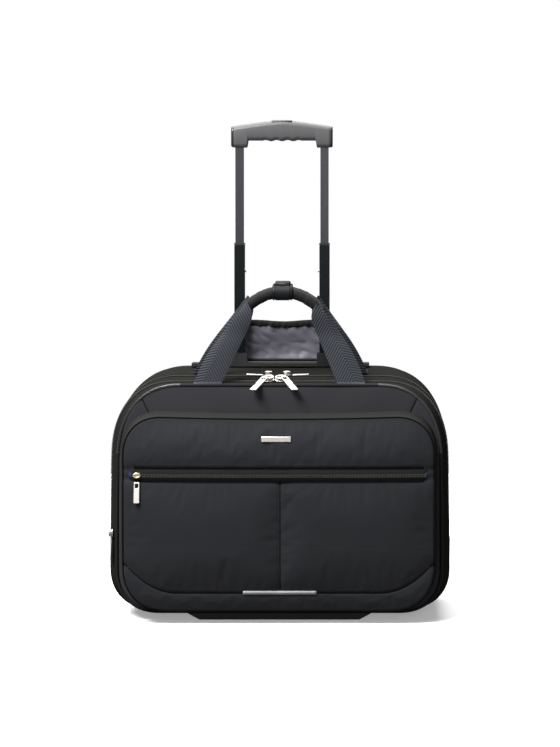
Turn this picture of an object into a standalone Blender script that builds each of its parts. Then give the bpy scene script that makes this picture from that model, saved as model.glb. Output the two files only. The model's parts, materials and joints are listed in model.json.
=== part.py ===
"""Soft-sided two-wheel pilot case with a telescopic trolley.

Frame: metres, +Z up, front facing -Y, the case standing on z = 0.
The case is a stack of layers from front to back. Below HINGE_Z the layers are
fixed, and above it the front two swing forward when their zips are open.
"""
import math

import bmesh
import bpy
from mathutils import Matrix, Vector

MM = 0.001
GAP = 0.3 * MM
CLEAR = 15 * MM  # how far a cutter runs past the face it opens

# Driving dimensions of the soft shell
HALF_WIDTH = 215 * MM
BODY_BOTTOM = 10 * MM
FRONT_TOP = 303 * MM
MIDDLE_TOP = 308 * MM
MAIN_ZIP_TOP = MIDDLE_TOP - 2.5 * MM
BACK_TOP = 317 * MM
HINGE_Z = 102 * MM
TOP_CORNER = (90 * MM, 104 * MM)
BOTTOM_CORNER = 48 * MM
WALL = 3.4 * MM
DIVIDER = 2.5 * MM

# Layers along Y, front to back
POCKET_FRONT = -94 * MM
LID_FRONT = -62 * MM
LID_PANEL_BACK = -58.6 * MM
MAIN_ZIP_Y = -39 * MM
REAR_ZIP_Y = 0 * MM
WELL_FRONT = 54 * MM
BACK_PANEL_FRONT = 84 * MM
BACK = 88 * MM
TUBE_Y = 70 * MM

# Raised front compartment
POCKET_HALF_WIDTH = 199 * MM
POCKET_TOP = 267 * MM
POCKET_BOTTOM = 16 * MM
POCKET_CORNER = (52 * MM, 52 * MM)
POCKET_BASE_CORNER = 44 * MM
POCKET_ZIP_Z = 191 * MM
POCKET_ZIP_HALF = 187 * MM
POCKET_ZIP_TAPE = (-6 * MM, 10 * MM)
TAPE = 1.5 * MM

# Trim sewn on the compartment's face
SEWN_FACE = POCKET_FRONT - GAP
BADGE_X = (-22 * MM, 16 * MM)
BADGE_Z = (233.5 * MM, 240.5 * MM)
STRIP_X = (-45 * MM, 48 * MM)
STRIP_Z = (38.5 * MM, 45.5 * MM)

# Where each pair of top sliders meets
MAIN_MEET_X = -6.5 * MM
REAR_MEET_X = -4 * MM

# Trolley
TUBE_X = 57.5 * MM
SHEATH_OUTER = 17.6 * MM
SHEATH_INNER = 14.7 * MM
MIDDLE_OUTER = 14 * MM
MIDDLE_INNER = 11.9 * MM
INNER_OUTER = 11.2 * MM
INNER_WALL = 1 * MM
SHEATH_BOTTOM = 25 * MM
RIM_X = (-122 * MM, 118 * MM)
RIM_HALF_DEPTH = 13 * MM
RIM_HEIGHT = 4 * MM
RIM_Z = BACK_TOP + 0.4 * MM
BEZEL_OUTER = 20.6 * MM
BEZEL_TOP = 335 * MM
COLLAR_OUTER = 14.4 * MM
COLLAR_HEIGHT = 2.5 * MM
MIDDLE_Z = (193 * MM, 481 * MM)
INNER_Z = (328 * MM, 632 * MM)
STUD_Z = 446 * MM
STUD_RADIUS = 2 * MM
STUD_LENGTH = 1.6 * MM
STUD_SLOT = 5.4 * MM
GRIP_Z = (613 * MM, 650 * MM)
GRIP_HALF_WIDTH = 68 * MM
GRIP_DEPTH = 20.4 * MM
GRIP_CORNER = 7 * MM
GRIP_LEG = 11 * MM
LEG_WIDTH = 21 * MM
WAVE_DEPTH = 1.2 * MM
WAVE_PITCH = 18 * MM
WAVE_REACH = 28 * MM
BUTTON_HALF = 14.5 * MM
BUTTON_HALF_DEPTH = 7.5 * MM
BUTTON_WELL = 13 * MM
BUTTON_TRAVEL = 4 * MM

# Wheels
WHEEL_X = 178 * MM
WHEEL_RADIUS = 30 * MM
WHEEL_Y = 68 * MM
WHEEL_WIDTH = 20 * MM
HUB_RADIUS = 15 * MM
AXLE_RADIUS = 3 * MM
HOUSING_HALF = 17 * MM

# Foot and flap
FOOT_SOLE = 103 * MM
FOOT_CROWN = 121 * MM
FOOT_Y = (-60 * MM, -30 * MM)
FLAP_HALF = 57 * MM
FLAP_TOP = 377 * MM
FLAP_Y = 82 * MM
FLAP_THICK = 2.6 * MM

# Carry handles
FOOT_INNER = 75 * MM
FOOT_OUTER = 111 * MM
LEG_TOP_INNER = 36 * MM
LEG_TOP_OUTER = 56 * MM
LEG_RISE = 86 * MM
WEBBING = 2.4 * MM
CLASP_HALF = 12.5 * MM
PAD_REACH = 45 * MM
PAD_DROP = 24 * MM
PAD_RISE = 120 * MM
PAD_RADIUS = 7.6 * MM
FRONT_HANDLE_Y = -54 * MM
REAR_HANDLE_Y = 8 * MM
HANDLE_FOOT_Z = 305.5 * MM
REAR_FOOT_Z = 312 * MM

SIDES = (("left", -1), ("right", 1))


def clear_scene():
    """Remove every object that the file opened with."""
    for obj in list(bpy.data.objects):
        bpy.data.objects.remove(obj, do_unlink=True)


def material(name, color, roughness, metallic=0.0):
    """A Principled material in one plain colour."""
    mat = bpy.data.materials.new(name)
    mat.use_nodes = True
    shader = mat.node_tree.nodes["Principled BSDF"]
    shader.inputs["Base Color"].default_value = (*color, 1)
    shader.inputs["Roughness"].default_value = roughness
    shader.inputs["Metallic"].default_value = metallic
    return mat


def make_materials():
    """All the materials of the case, by short name."""
    return {
        "nylon": material("black_nylon", (0.020, 0.020, 0.022), 0.85),
        "panel": material("charcoal_weave", (0.045, 0.046, 0.050), 0.85),
        "lining": material("grey_lining", (0.13, 0.125, 0.15), 0.6),
        "webbing": material("slate_webbing", (0.045, 0.052, 0.062), 0.8),
        "pad": material("black_padding", (0.012, 0.012, 0.013), 0.8),
        "plastic": material("black_plastic", (0.02, 0.02, 0.022), 0.5),
        "grip": material("grey_plastic", (0.15, 0.15, 0.155), 0.55),
        "tube": material("dark_anodised_tube", (0.04, 0.04, 0.05), 0.3, 0.9),
        "outer_tube": material("black_anodised_tube", (0.012, 0.016, 0.018), 0.35, 0.8),
        "metal": material("satin_metal", (0.55, 0.55, 0.54), 0.3, 1.0),
        "trim": material("reflective_grey", (0.45, 0.45, 0.44), 0.5),
        "rubber": material("wheel_rubber", (0.02, 0.02, 0.02), 0.9),
    }


def add_object(name, bm, mat, parent=None, at=(0, 0, 0), smooth=False):
    """Turn a bmesh built in world coordinates into an object whose origin is `at`."""
    mesh = bpy.data.meshes.new(name)
    bmesh.ops.translate(bm, verts=bm.verts, vec=-Vector(at))
    bmesh.ops.recalc_face_normals(bm, faces=bm.faces)
    bm.to_mesh(mesh)
    bm.free()
    mesh.materials.append(mat)
    if smooth:
        mesh.shade_smooth()
        mesh.set_sharp_from_angle(angle=math.radians(35))
    obj = bpy.data.objects.new(name, mesh)
    bpy.context.collection.objects.link(obj)
    attach(obj, parent, at)
    return obj


def attach(obj, parent, at):
    """Put an object's origin at a world place, under an unrotated parent."""
    if parent is None:
        obj.location = at
        return
    obj.parent = parent
    obj.location = Vector(at) - world_place(parent)


def world_place(obj):
    """World location of an object whose parents aren't rotated."""
    place = Vector(obj.location)
    while obj.parent:
        obj = obj.parent
        place += obj.location
    return place


def joint_frame(name, at, parent=None):
    """An empty on a joint's axis, to carry the pieces that move together."""
    empty = bpy.data.objects.new(name, None)
    empty.empty_display_size = 0.02
    bpy.context.collection.objects.link(empty)
    attach(empty, parent, at)
    return empty


def join_rings(bm, rings):
    """Faces between each closed ring of points and the next; returns the rings' vertices."""
    made = [[bm.verts.new(point) for point in ring] for ring in rings]
    for near, far in zip(made, made[1:]):
        bridge(bm, near, far)
    return made


def bridge(bm, near, far):
    """Faces between two equal closed rings of vertices."""
    count = len(near)
    for i in range(count):
        j = (i + 1) % count
        bm.faces.new((near[i], near[j], far[j], far[i]))


def loft(rings):
    """Closed solid through equal rings of points, with flat caps at both ends."""
    bm = bmesh.new()
    made = join_rings(bm, rings)
    bm.faces.new(made[0])
    bm.faces.new(list(reversed(made[-1])))
    return bm


def ring_solid(rings):
    """Closed solid with a through hole: the last ring is joined back to the first."""
    bm = bmesh.new()
    made = join_rings(bm, rings)
    bridge(bm, made[-1], made[0])
    return bm


def prism_y(outline, y0, y1):
    """An (x, z) outline extruded from y0 to y1."""
    return loft([[(x, y, z) for x, z in outline] for y in (y0, y1)])


def prism_z(outline, z0, z1):
    """An (x, y) outline extruded from z0 to z1."""
    return loft([[(x, y, z) for x, y in outline] for z in (z0, z1)])


def prism_x(outline, x0, x1):
    """A (y, z) outline extruded from x0 to x1."""
    return loft([[(x, y, z) for y, z in outline] for x in (x0, x1)])


def block(x0, x1, y0, y1, z0, z1):
    """A plain box between two corners."""
    return prism_z([(x0, y0), (x1, y0), (x1, y1), (x0, y1)], z0, z1)


def disc(radius, segments, length, hole=None):
    """A cylinder along X centred on the origin, with a through hole if asked."""
    bm = bmesh.new()
    ends = (-length / 2, length / 2)
    radii = [radius] if hole is None else [radius, hole]
    rings = []
    for r in radii:
        for x in ends:
            turn = [2 * math.pi * i / segments for i in range(segments)]
            rings.append([bm.verts.new((x, r * math.cos(a), r * math.sin(a))) for a in turn])
    pairs = [(0, 1)] if hole is None else [(0, 1), (1, 3), (3, 2), (2, 0)]
    for a, b in pairs:
        for i in range(segments):
            j = (i + 1) % segments
            bm.faces.new((rings[a][i], rings[a][j], rings[b][j], rings[b][i]))
    if hole is None:
        bm.faces.new(rings[0])
        bm.faces.new(rings[1])
    return bm


def moved(bm, offset):
    """The same bmesh, shifted."""
    bmesh.ops.translate(bm, verts=bm.verts, vec=Vector(offset))
    return bm


def turned(bm, angle, axis, about):
    """The same bmesh, turned about an axis through a point."""
    spin = Matrix.Rotation(angle, 4, axis)
    bmesh.ops.rotate(bm, verts=bm.verts, cent=Vector(about), matrix=spin)
    return bm


def cut(obj, name, bm):
    """Cut an object with a hidden cutter built in world coordinates."""
    cutter = add_object(name, bm, obj.data.materials[0])
    cutter.hide_render = True
    cutter.display_type = "WIRE"
    modifier = obj.modifiers.new(name, "BOOLEAN")
    modifier.operation = "DIFFERENCE"
    modifier.solver = "EXACT"
    modifier.object = cutter


def bevel(obj, width, segments=2):
    """Round an object's sharp edges."""
    modifier = obj.modifiers.new("rounding", "BEVEL")
    modifier.width = width
    modifier.segments = segments
    modifier.limit_method = "ANGLE"
    modifier.angle_limit = math.radians(40)
    modifier.harden_normals = False


def corner_arc(centre, radii, start, end, steps=8):
    """Points on a quarter ellipse, angles in degrees."""
    points = []
    for i in range(steps + 1):
        angle = math.radians(start + (end - start) * i / steps)
        points.append((centre[0] + radii[0] * math.cos(angle), centre[1] + radii[1] * math.sin(angle)))
    return points


def upper_outline(half, top, corner, inset=0.0, low=HINGE_Z):
    """Right side, over the top and down the left side of a shell, open at the hinge."""
    side = half - inset
    crown = top - inset
    rx = corner[0] - inset
    rz = corner[1] - inset
    right = corner_arc((side - rx, crown - rz), (rx, rz), 0, 90)
    left = corner_arc((rx - side, crown - rz), (rx, rz), 90, 180)
    return [(side, low)] + right + left + [(-side, low)]


def lower_outline(half, bottom, corner, inset=0.0, high=HINGE_Z):
    """Left side, under the bottom and up the right side of a shell."""
    side = half - inset
    floor = bottom + inset
    r = corner - inset
    left = corner_arc((r - side, floor + r), (r, r), 180, 270)
    right = corner_arc((side - r, floor + r), (r, r), 270, 360)
    return [(-side, high)] + left + right + [(side, high)]


def shell_upper(top, inset=0.0, low=HINGE_Z):
    """The case's own outline above the hinge."""
    return upper_outline(HALF_WIDTH, top, TOP_CORNER, inset, low)


def shell_lower(inset=0.0, high=HINGE_Z):
    """The case's own outline below the hinge."""
    return lower_outline(HALF_WIDTH, BODY_BOTTOM, BOTTOM_CORNER, inset, high)


def upper_band(layers):
    """An open strip of wall above the hinge, lofted through (y, top) layers."""
    rings = []
    for y, top in layers:
        outer = shell_upper(top, 0.0, HINGE_Z + GAP)
        inner = shell_upper(top, WALL, HINGE_Z + GAP)
        rings.append([(x, y, z) for x, z in outer + list(reversed(inner))])
    return loft(rings)


def tray(outline, y_front, y_back):
    """An open-backed tray: a front wall and a rim of wall thickness all round."""
    outer = outline(0.0)
    inner = outline(WALL)
    stations = [(outer, y_front), (outer, y_back), (inner, y_back), (inner, y_front + WALL)]
    return loft([[(x, y, z) for x, z in shape] for shape, y in stations])


def tube_hole(x, half, z0, z1):
    """A square cutter centred on a trolley tube."""
    return block(x - half, x + half, TUBE_Y - half, TUBE_Y + half, z0, z1)


def closed_shell(top, inset):
    """The whole outline of the case as one loop."""
    return shell_upper(top, inset)[1:-1] + shell_lower(inset)[1:-1]


def make_rear_box(mats):
    """The rear box: its side wall, back panel and inner divider, cut for the wheels and tubes."""
    layers = [(REAR_ZIP_Y + GAP, MIDDLE_TOP), (BACK_PANEL_FRONT - GAP, BACK_TOP)]
    outer = [[(x, y, z) for x, z in closed_shell(top, 0)] for y, top in layers]
    inner = [[(x, y, z) for x, z in closed_shell(top, WALL)] for y, top in layers]
    bm = ring_solid([outer[0], outer[1], inner[1], inner[0]])
    rear = add_object("rear_gusset", bm, mats["nylon"])
    outline = closed_shell(BACK_TOP, 0)
    back = add_object("back_panel", prism_y(outline, BACK_PANEL_FRONT, BACK), mats["nylon"])
    outline = closed_shell(MIDDLE_TOP, WALL + GAP)
    divider = prism_y(outline, WELL_FRONT - DIVIDER, WELL_FRONT)
    divider = add_object("well_divider", divider, mats["lining"])
    for side, sign in SIDES:
        for wall in (rear, back, divider):
            half = HOUSING_HALF + GAP
            x = sign * WHEEL_X
            front = housing_front() - GAP
            hole = block(x - half, x + half, front, BACK + CLEAR, -CLEAR, housing_top() + GAP)
            cut(wall, f"wheel_cutter_{side}_{wall.name}", hole)
        half = SHEATH_OUTER / 2 + GAP
        x = sign * TUBE_X
        hole = tube_hole(x, half, BACK_TOP - 2 * CLEAR, BACK_TOP + CLEAR)
        cut(rear, f"sheath_cutter_{side}", hole)


def make_base_front(mats):
    """The fixed front of the case below the hinge, with the lower part of the compartment."""
    outer = shell_lower(0, HINGE_Z - GAP)
    inner = shell_lower(WALL, HINGE_Z - GAP)
    bm = prism_y(outer + list(reversed(inner)), LID_PANEL_BACK + GAP, REAR_ZIP_Y - GAP)
    add_object("base_gusset", bm, mats["nylon"])
    outline = shell_lower(0, HINGE_Z - GAP)
    add_object("base_front_panel", prism_y(outline, LID_FRONT, LID_PANEL_BACK), mats["nylon"])

    def pocket(inset):
        high = HINGE_Z - GAP - inset
        return lower_outline(POCKET_HALF_WIDTH, POCKET_BOTTOM, POCKET_BASE_CORNER, inset, high)

    bm = tray(pocket, POCKET_FRONT, LID_FRONT - GAP)
    add_object("compartment_base", bm, mats["panel"])


def make_middle_section(mats, frame):
    """The file section between the main zip and the rear zip."""
    layers = [(MAIN_ZIP_Y + GAP, MAIN_ZIP_TOP), (REAR_ZIP_Y - GAP, MIDDLE_TOP)]
    add_object("middle_gusset", upper_band(layers), mats["nylon"], frame, world_place(frame))
    outline = shell_upper(MIDDLE_TOP - 1 * MM, WALL + GAP, HINGE_Z + GAP)
    back = REAR_ZIP_Y - 1.5 * MM
    bm = prism_y(outline, back - DIVIDER, back)
    add_object("middle_divider", bm, mats["lining"], frame, world_place(frame))


def make_front_lid(mats, frame):
    """The front wall of the case with its raised compartment."""
    axis = world_place(frame)
    layers = [(LID_PANEL_BACK + GAP, FRONT_TOP), (MAIN_ZIP_Y - GAP, MAIN_ZIP_TOP)]
    add_object("lid_gusset", upper_band(layers), mats["nylon"], frame, axis)
    outline = shell_upper(FRONT_TOP, 0, HINGE_Z + GAP)
    add_object("lid_panel", prism_y(outline, LID_FRONT, LID_PANEL_BACK), mats["nylon"], frame, axis)

    def pocket(inset):
        return upper_outline(POCKET_HALF_WIDTH, POCKET_TOP, POCKET_CORNER, inset, HINGE_Z + GAP + inset)

    bm = tray(pocket, POCKET_FRONT, LID_FRONT - GAP)
    add_object("compartment_upper", bm, mats["panel"], frame, axis)
    half = POCKET_ZIP_HALF
    low, high = POCKET_ZIP_TAPE
    bm = block(-half, half, SEWN_FACE - TAPE, SEWN_FACE, POCKET_ZIP_Z + low, POCKET_ZIP_Z + high)
    add_object("pocket_zip_tape", bm, mats["nylon"], frame, axis)
    badge = block(*BADGE_X, SEWN_FACE - 1.6 * MM, SEWN_FACE, *BADGE_Z)
    bevel(add_object("badge_plate", badge, mats["metal"], frame, axis), 0.5 * MM)


def make_reflective_strip(mats):
    """The light strip sewn low on the front."""
    bm = block(*STRIP_X, SEWN_FACE - 0.8 * MM, SEWN_FACE, *STRIP_Z)
    add_object("reflective_strip", bm, mats["trim"])


def sheath_channel(outer, x, toward, z0, z1):
    """A square channel round a middle tube, its stud slot facing along X, `toward` +1 or -1."""
    a = outer / 2
    b = SHEATH_INNER / 2
    s = STUD_SLOT / 2
    outside = [(a, -s), (a, -a), (-a, -a), (-a, a), (a, a), (a, s)]
    inside = [(b, s), (b, b), (-b, b), (-b, -b), (b, -b), (b, -s)]
    return prism_z([(x + toward * u, TUBE_Y + v) for u, v in outside + inside], z0, z1)


def square_tube(outer, inner, x, y, z0, z1):
    """A square tube open at both ends."""
    corners = ((1, 1), (-1, 1), (-1, -1), (1, -1))
    stations = ((outer / 2, z0), (outer / 2, z1), (inner / 2, z1), (inner / 2, z0))
    return ring_solid([[(x + half * u, y + half * v, z) for u, v in corners] for half, z in stations])


def make_well(mats):
    """The rim round the trolley's opening and the bracket under its sheaths."""
    bm = block(*RIM_X, TUBE_Y - RIM_HALF_DEPTH, TUBE_Y + RIM_HALF_DEPTH, RIM_Z, RIM_Z + RIM_HEIGHT)
    rim = add_object("well_rim", bm, mats["plastic"])
    half = SHEATH_OUTER / 2 + GAP
    for side, sign in SIDES:
        x = sign * TUBE_X
        hole = tube_hole(x, half, RIM_Z - CLEAR, RIM_Z + RIM_HEIGHT + CLEAR)
        cut(rim, f"rim_cutter_{side}", hole)
    reach = TUBE_X + SHEATH_OUTER / 2
    low = SHEATH_BOTTOM - 6 * MM
    bm = block(-reach, reach, TUBE_Y - 10 * MM, TUBE_Y + 10 * MM, low, SHEATH_BOTTOM - GAP)
    add_object("tube_bracket", bm, mats["plastic"])


def make_trolley(mats, middle, inner):
    """Fixed sheaths, two sliding stages and the studs that stop them."""
    bezel_z = RIM_Z + RIM_HEIGHT + GAP
    at = world_place(middle)
    for side, sign in SIDES:
        x = sign * TUBE_X
        bm = sheath_channel(SHEATH_OUTER, x, -sign, SHEATH_BOTTOM, bezel_z - GAP)
        add_object(f"tube_sheath_{side}", bm, mats["outer_tube"])
        bm = sheath_channel(BEZEL_OUTER, x, -sign, bezel_z, BEZEL_TOP)
        add_object(f"socket_bezel_{side}", bm, mats["plastic"])
        bm = square_tube(MIDDLE_OUTER, MIDDLE_INNER, x, TUBE_Y, *MIDDLE_Z)
        add_object(f"middle_tube_{side}", bm, mats["outer_tube"], middle, at)
        z = MIDDLE_Z[1] + GAP
        bm = square_tube(COLLAR_OUTER, INNER_OUTER + 2 * GAP, x, TUBE_Y, z, z + COLLAR_HEIGHT)
        add_object(f"middle_collar_{side}", bm, mats["plastic"], middle, at)
        stud_x = x - sign * (MIDDLE_OUTER / 2 + GAP + STUD_LENGTH / 2)
        bm = moved(disc(STUD_RADIUS, 16, STUD_LENGTH), (stud_x, TUBE_Y, STUD_Z))
        add_object(f"lock_stud_{side}", bm, mats["metal"], middle, at, smooth=True)
        bm = square_tube(INNER_OUTER, INNER_OUTER - 2 * INNER_WALL, x, TUBE_Y, *INNER_Z)
        add_object(f"inner_tube_{side}", bm, mats["tube"], inner, world_place(inner))


def grip_outline():
    """Front view of the grip: two legs, a bar and three finger waves under it."""
    bottom, top = GRIP_Z
    under = bottom + GRIP_LEG
    outer = GRIP_HALF_WIDTH
    inner = outer - LEG_WIDTH
    points = [(-inner, bottom), (-outer, bottom)]
    r = GRIP_CORNER
    points += corner_arc((r - outer, top - r), (r, r), 180, 90, 4)
    points += corner_arc((outer - r, top - r), (r, r), 90, 0, 4)
    points += [(outer, bottom), (inner, bottom)]
    waves = 24
    for i in range(waves + 1):
        x = inner * (1 - 2 * i / waves)
        ripple = -WAVE_DEPTH * math.cos(x / WAVE_PITCH * 2 * math.pi) if abs(x) < WAVE_REACH else 0
        fillet = 6 * MM * (abs(x) / inner) ** 8
        points.append((x, under + ripple - fillet))
    return points


def make_grip(mats, inner, button):
    """The moulded handle on top of the inner tubes, with its release button."""
    at = world_place(inner)
    half = GRIP_DEPTH / 2
    bm = prism_y(grip_outline(), TUBE_Y - half, TUBE_Y + half)
    shell = add_object("grip_shell", bm, mats["grip"], inner, at)
    bevel(shell, 2.5 * MM, 2)
    for side, sign in SIDES:
        x = sign * TUBE_X
        h = INNER_OUTER / 2 + GAP
        hole = tube_hole(x, h, GRIP_Z[0] - CLEAR, INNER_Z[1] + GAP)
        cut(shell, f"leg_cutter_{side}", hole)
    top = GRIP_Z[1]
    w = BUTTON_HALF + GAP
    d = BUTTON_HALF_DEPTH + GAP
    floor = top - BUTTON_WELL
    cut(shell, "button_cutter", block(-w, w, TUBE_Y - d, TUBE_Y + d, floor, top + CLEAR))
    d = BUTTON_HALF_DEPTH
    foot = floor + BUTTON_TRAVEL + GAP
    bm = block(-BUTTON_HALF, BUTTON_HALF, TUBE_Y - d, TUBE_Y + d, foot, top + 1.2 * MM)
    add_object("grip_button", bm, mats["grip"], button, world_place(button))


def housing_front():
    """Front face of the wheel housings."""
    return WHEEL_Y - WHEEL_RADIUS - 4.5 * MM


def housing_top():
    """Top face of the wheel housings."""
    return 2 * WHEEL_RADIUS + 5 * MM


def make_wheels(mats):
    """Arched housings at the rear corners, each with an axle, a hub and a tyre."""
    for side, sign in SIDES:
        x = sign * WHEEL_X
        outer = [housing_front(), BACK - GAP, BODY_BOTTOM + 0.5 * MM, housing_top()]
        bm = block(x - HOUSING_HALF, x + HOUSING_HALF, *outer)
        housing = add_object(f"wheel_housing_{side}", bm, mats["plastic"])
        h = WHEEL_WIDTH / 2 + 2 * MM
        hole = block(x - h, x + h, outer[0] + 2 * MM, BACK + CLEAR, -CLEAR, outer[3] - 2 * MM)
        cut(housing, f"arch_cutter_{side}", hole)
        centre = (x, WHEEL_Y, WHEEL_RADIUS)
        frame = joint_frame(f"wheel_frame_{side}", centre)
        bm = moved(disc(AXLE_RADIUS, 20, 2 * h - 2 * GAP), centre)
        add_object(f"wheel_axle_{side}", bm, mats["metal"], smooth=True)
        bm = moved(disc(HUB_RADIUS, 32, WHEEL_WIDTH + 1 * MM, AXLE_RADIUS + GAP), centre)
        add_object(f"wheel_hub_{side}", bm, mats["grip"], frame, centre, smooth=True)
        bm = moved(disc(WHEEL_RADIUS, 48, WHEEL_WIDTH, HUB_RADIUS + GAP), centre)
        tyre = add_object(f"wheel_tyre_{side}", bm, mats["rubber"], frame, centre, smooth=True)
        bevel(tyre, 2 * MM, 2)


def make_front_foot(mats):
    """The moulded bar under the front that the case stands on."""
    top = BODY_BOTTOM - GAP
    outline = [(-FOOT_SOLE, 0), (FOOT_SOLE, 0), (FOOT_CROWN, top), (-FOOT_CROWN, top)]
    add_object("front_foot", prism_y(outline, *FOOT_Y), mats["plastic"])


def half_ring(inner, outer, start, end, steps=8):
    """(y, z) outline of a bent strip between two radii, angles in degrees."""
    outside = corner_arc((0, 0), (outer, outer), start, end, steps)
    inside = corner_arc((0, 0), (inner, inner), end, start, steps)
    return outside + inside


def pad_path():
    """Centre line of a handle's padded roll, (x, rise) from end to end."""
    points = []
    for i in range(13):
        u = -1 + i / 6
        points.append((PAD_REACH * u, PAD_RISE - PAD_DROP * abs(u) ** 3.2))
    return points


def pad_solid(y, z, steps=10):
    """A round roll swept along the pad's path."""
    path = pad_path()
    rings = []
    for i, (x, rise) in enumerate(path):
        ahead = path[min(i + 1, len(path) - 1)]
        behind = path[max(i - 1, 0)]
        along = Vector((ahead[0] - behind[0], 0, ahead[1] - behind[1])).normalized()
        across = Vector((-along.z, 0, along.x))
        ring = []
        for k in range(steps):
            a = 2 * math.pi * k / steps
            spoke = math.cos(a) * across + math.sin(a) * Vector((0, 1, 0))
            ring.append(Vector((x, y, z + rise)) + PAD_RADIUS * spoke)
        rings.append(ring)
    return loft(rings)


def make_handle(mats, frame, name, lean, outward, spread=0.0):
    """One carry handle: two webbing legs, a padded roll and its half of the clasp."""
    at = world_place(frame)
    y, z = at.y, at.z
    for side, sign in SIDES:
        feet = [(FOOT_OUTER + spread, GAP), (FOOT_INNER + spread, GAP)]
        legs = feet + [(LEG_TOP_INNER, LEG_RISE), (LEG_TOP_OUTER, LEG_RISE)]
        half = WEBBING / 2
        bm = prism_y([(sign * x, z + rise) for x, rise in legs], y - half, y + half)
        turned(bm, lean, "X", at)
        add_object(f"{name}_webbing_{side}", bm, mats["webbing"], frame, at)
    bm = turned(pad_solid(y, z), lean, "X", at)
    add_object(f"{name}_pad", bm, mats["pad"], frame, at, smooth=True)
    start = 92 if outward > 0 else -88
    outline = half_ring(PAD_RADIUS + GAP + 0.2 * MM, PAD_RADIUS + 3 * MM, start, start + 176)
    shift = [(y + a, z + PAD_RISE + b) for a, b in outline]
    bm = turned(prism_x(shift, -CLASP_HALF, CLASP_HALF), lean, "X", at)
    add_object(f"{name}_clasp", bm, mats["plastic"], frame, at, smooth=True)


def make_zip_slider(mats, name, frame, size):
    """A slider body centred on its joint frame."""
    at = world_place(frame)
    x, y, z = (s / 2 for s in size)
    bm = block(at.x - x, at.x + x, at.y - y, at.y + y, at.z - z, at.z + z)
    bevel(add_object(name, bm, mats["metal"], frame, at), 0.8 * MM, 1)


def make_pull(mats, name, frame, direction, normal, length, width=7.5 * MM):
    """A flat tab that starts at its hinge and runs along a direction."""
    at = world_place(frame)
    along = Vector(direction).normalized()
    up = Vector(normal).normalized()
    across = along.cross(up)
    corners = ((0.6 * MM, -0.35), (0.6 * MM, 0.35), (length, 0.5), (length, -0.5))
    rings = []
    for h in (-0.8 * MM, 0.8 * MM):
        rings.append([at + along * u + across * v * width + up * h for u, v in corners])
    add_object(name, loft(rings), mats["metal"], frame, at)


def make_top_zips(mats, lid):
    """The two pairs of sliders that meet at the middle of the top."""
    top = MIDDLE_TOP + 2.4 * MM
    for side, sign in SIDES:
        x = MAIN_MEET_X + sign * 8 * MM
        slide = joint_frame(f"main_slider_frame_{side}", (x, MAIN_ZIP_Y - 4 * MM, top - 2.5 * MM), lid)
        make_zip_slider(mats, f"main_slider_{side}", slide, (13 * MM, 7 * MM, 3.6 * MM))
        at = (x + sign * 4 * MM, MAIN_ZIP_Y - 9 * MM, top - 1.6 * MM)
        hinge = joint_frame(f"main_pull_frame_{side}", at, slide)
        make_pull(mats, f"main_pull_{side}", hinge, (sign * 0.62, -0.785, 0), (0, 0, 1), 26 * MM)
        x = REAR_MEET_X + sign * 12 * MM
        slide = joint_frame(f"rear_slider_frame_{side}", (x, REAR_ZIP_Y + 4 * MM, top + 1 * MM))
        make_zip_slider(mats, f"rear_slider_{side}", slide, (12 * MM, 7 * MM, 3.6 * MM))
        at = (x + sign * 7.2 * MM, REAR_ZIP_Y + 4 * MM, top + 1 * MM)
        hinge = joint_frame(f"rear_pull_frame_{side}", at, slide)
        make_pull(mats, f"rear_pull_{side}", hinge, (sign, 0, 0), (0, 0, 1), 23 * MM)


def make_front_zips(mats, lid):
    """The compartment's slider, and the one low on the left side of the main zip."""
    x = -POCKET_ZIP_HALF + 7.5 * MM
    y = SEWN_FACE - TAPE - GAP - 1.8 * MM
    slide = joint_frame("pocket_slider_frame", (x, y, POCKET_ZIP_Z), lid)
    make_zip_slider(mats, "pocket_slider", slide, (8 * MM, 3.6 * MM, 10 * MM))
    hinge = joint_frame("pocket_pull_frame", (x, y, POCKET_ZIP_Z - 8.4 * MM), slide)
    make_pull(mats, "pocket_pull", hinge, (0, 0, -1), (0, -1, 0), 27 * MM)
    x = -HALF_WIDTH - GAP - 1.8 * MM
    y = LID_FRONT + 8 * MM
    slide = joint_frame("side_slider_frame", (x, y, HINGE_Z + 9 * MM), lid)
    make_zip_slider(mats, "side_slider", slide, (3.6 * MM, 7 * MM, 10 * MM))
    hinge = joint_frame("side_pull_frame", (x, y, HINGE_Z + 2.9 * MM), slide)
    make_pull(mats, "side_pull", hinge, (0, 0, -1), (-1, 0, 0), 30 * MM)


def make_cover_flap(mats, frame):
    """The lined flap that folds over the trolley well."""
    at = world_place(frame)
    half = FLAP_THICK / 2
    bm = block(-FLAP_HALF, FLAP_HALF, at.y - half, at.y + half, at.z + GAP, FLAP_TOP)
    add_object("cover_flap", bm, mats["lining"], frame, at)


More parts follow.
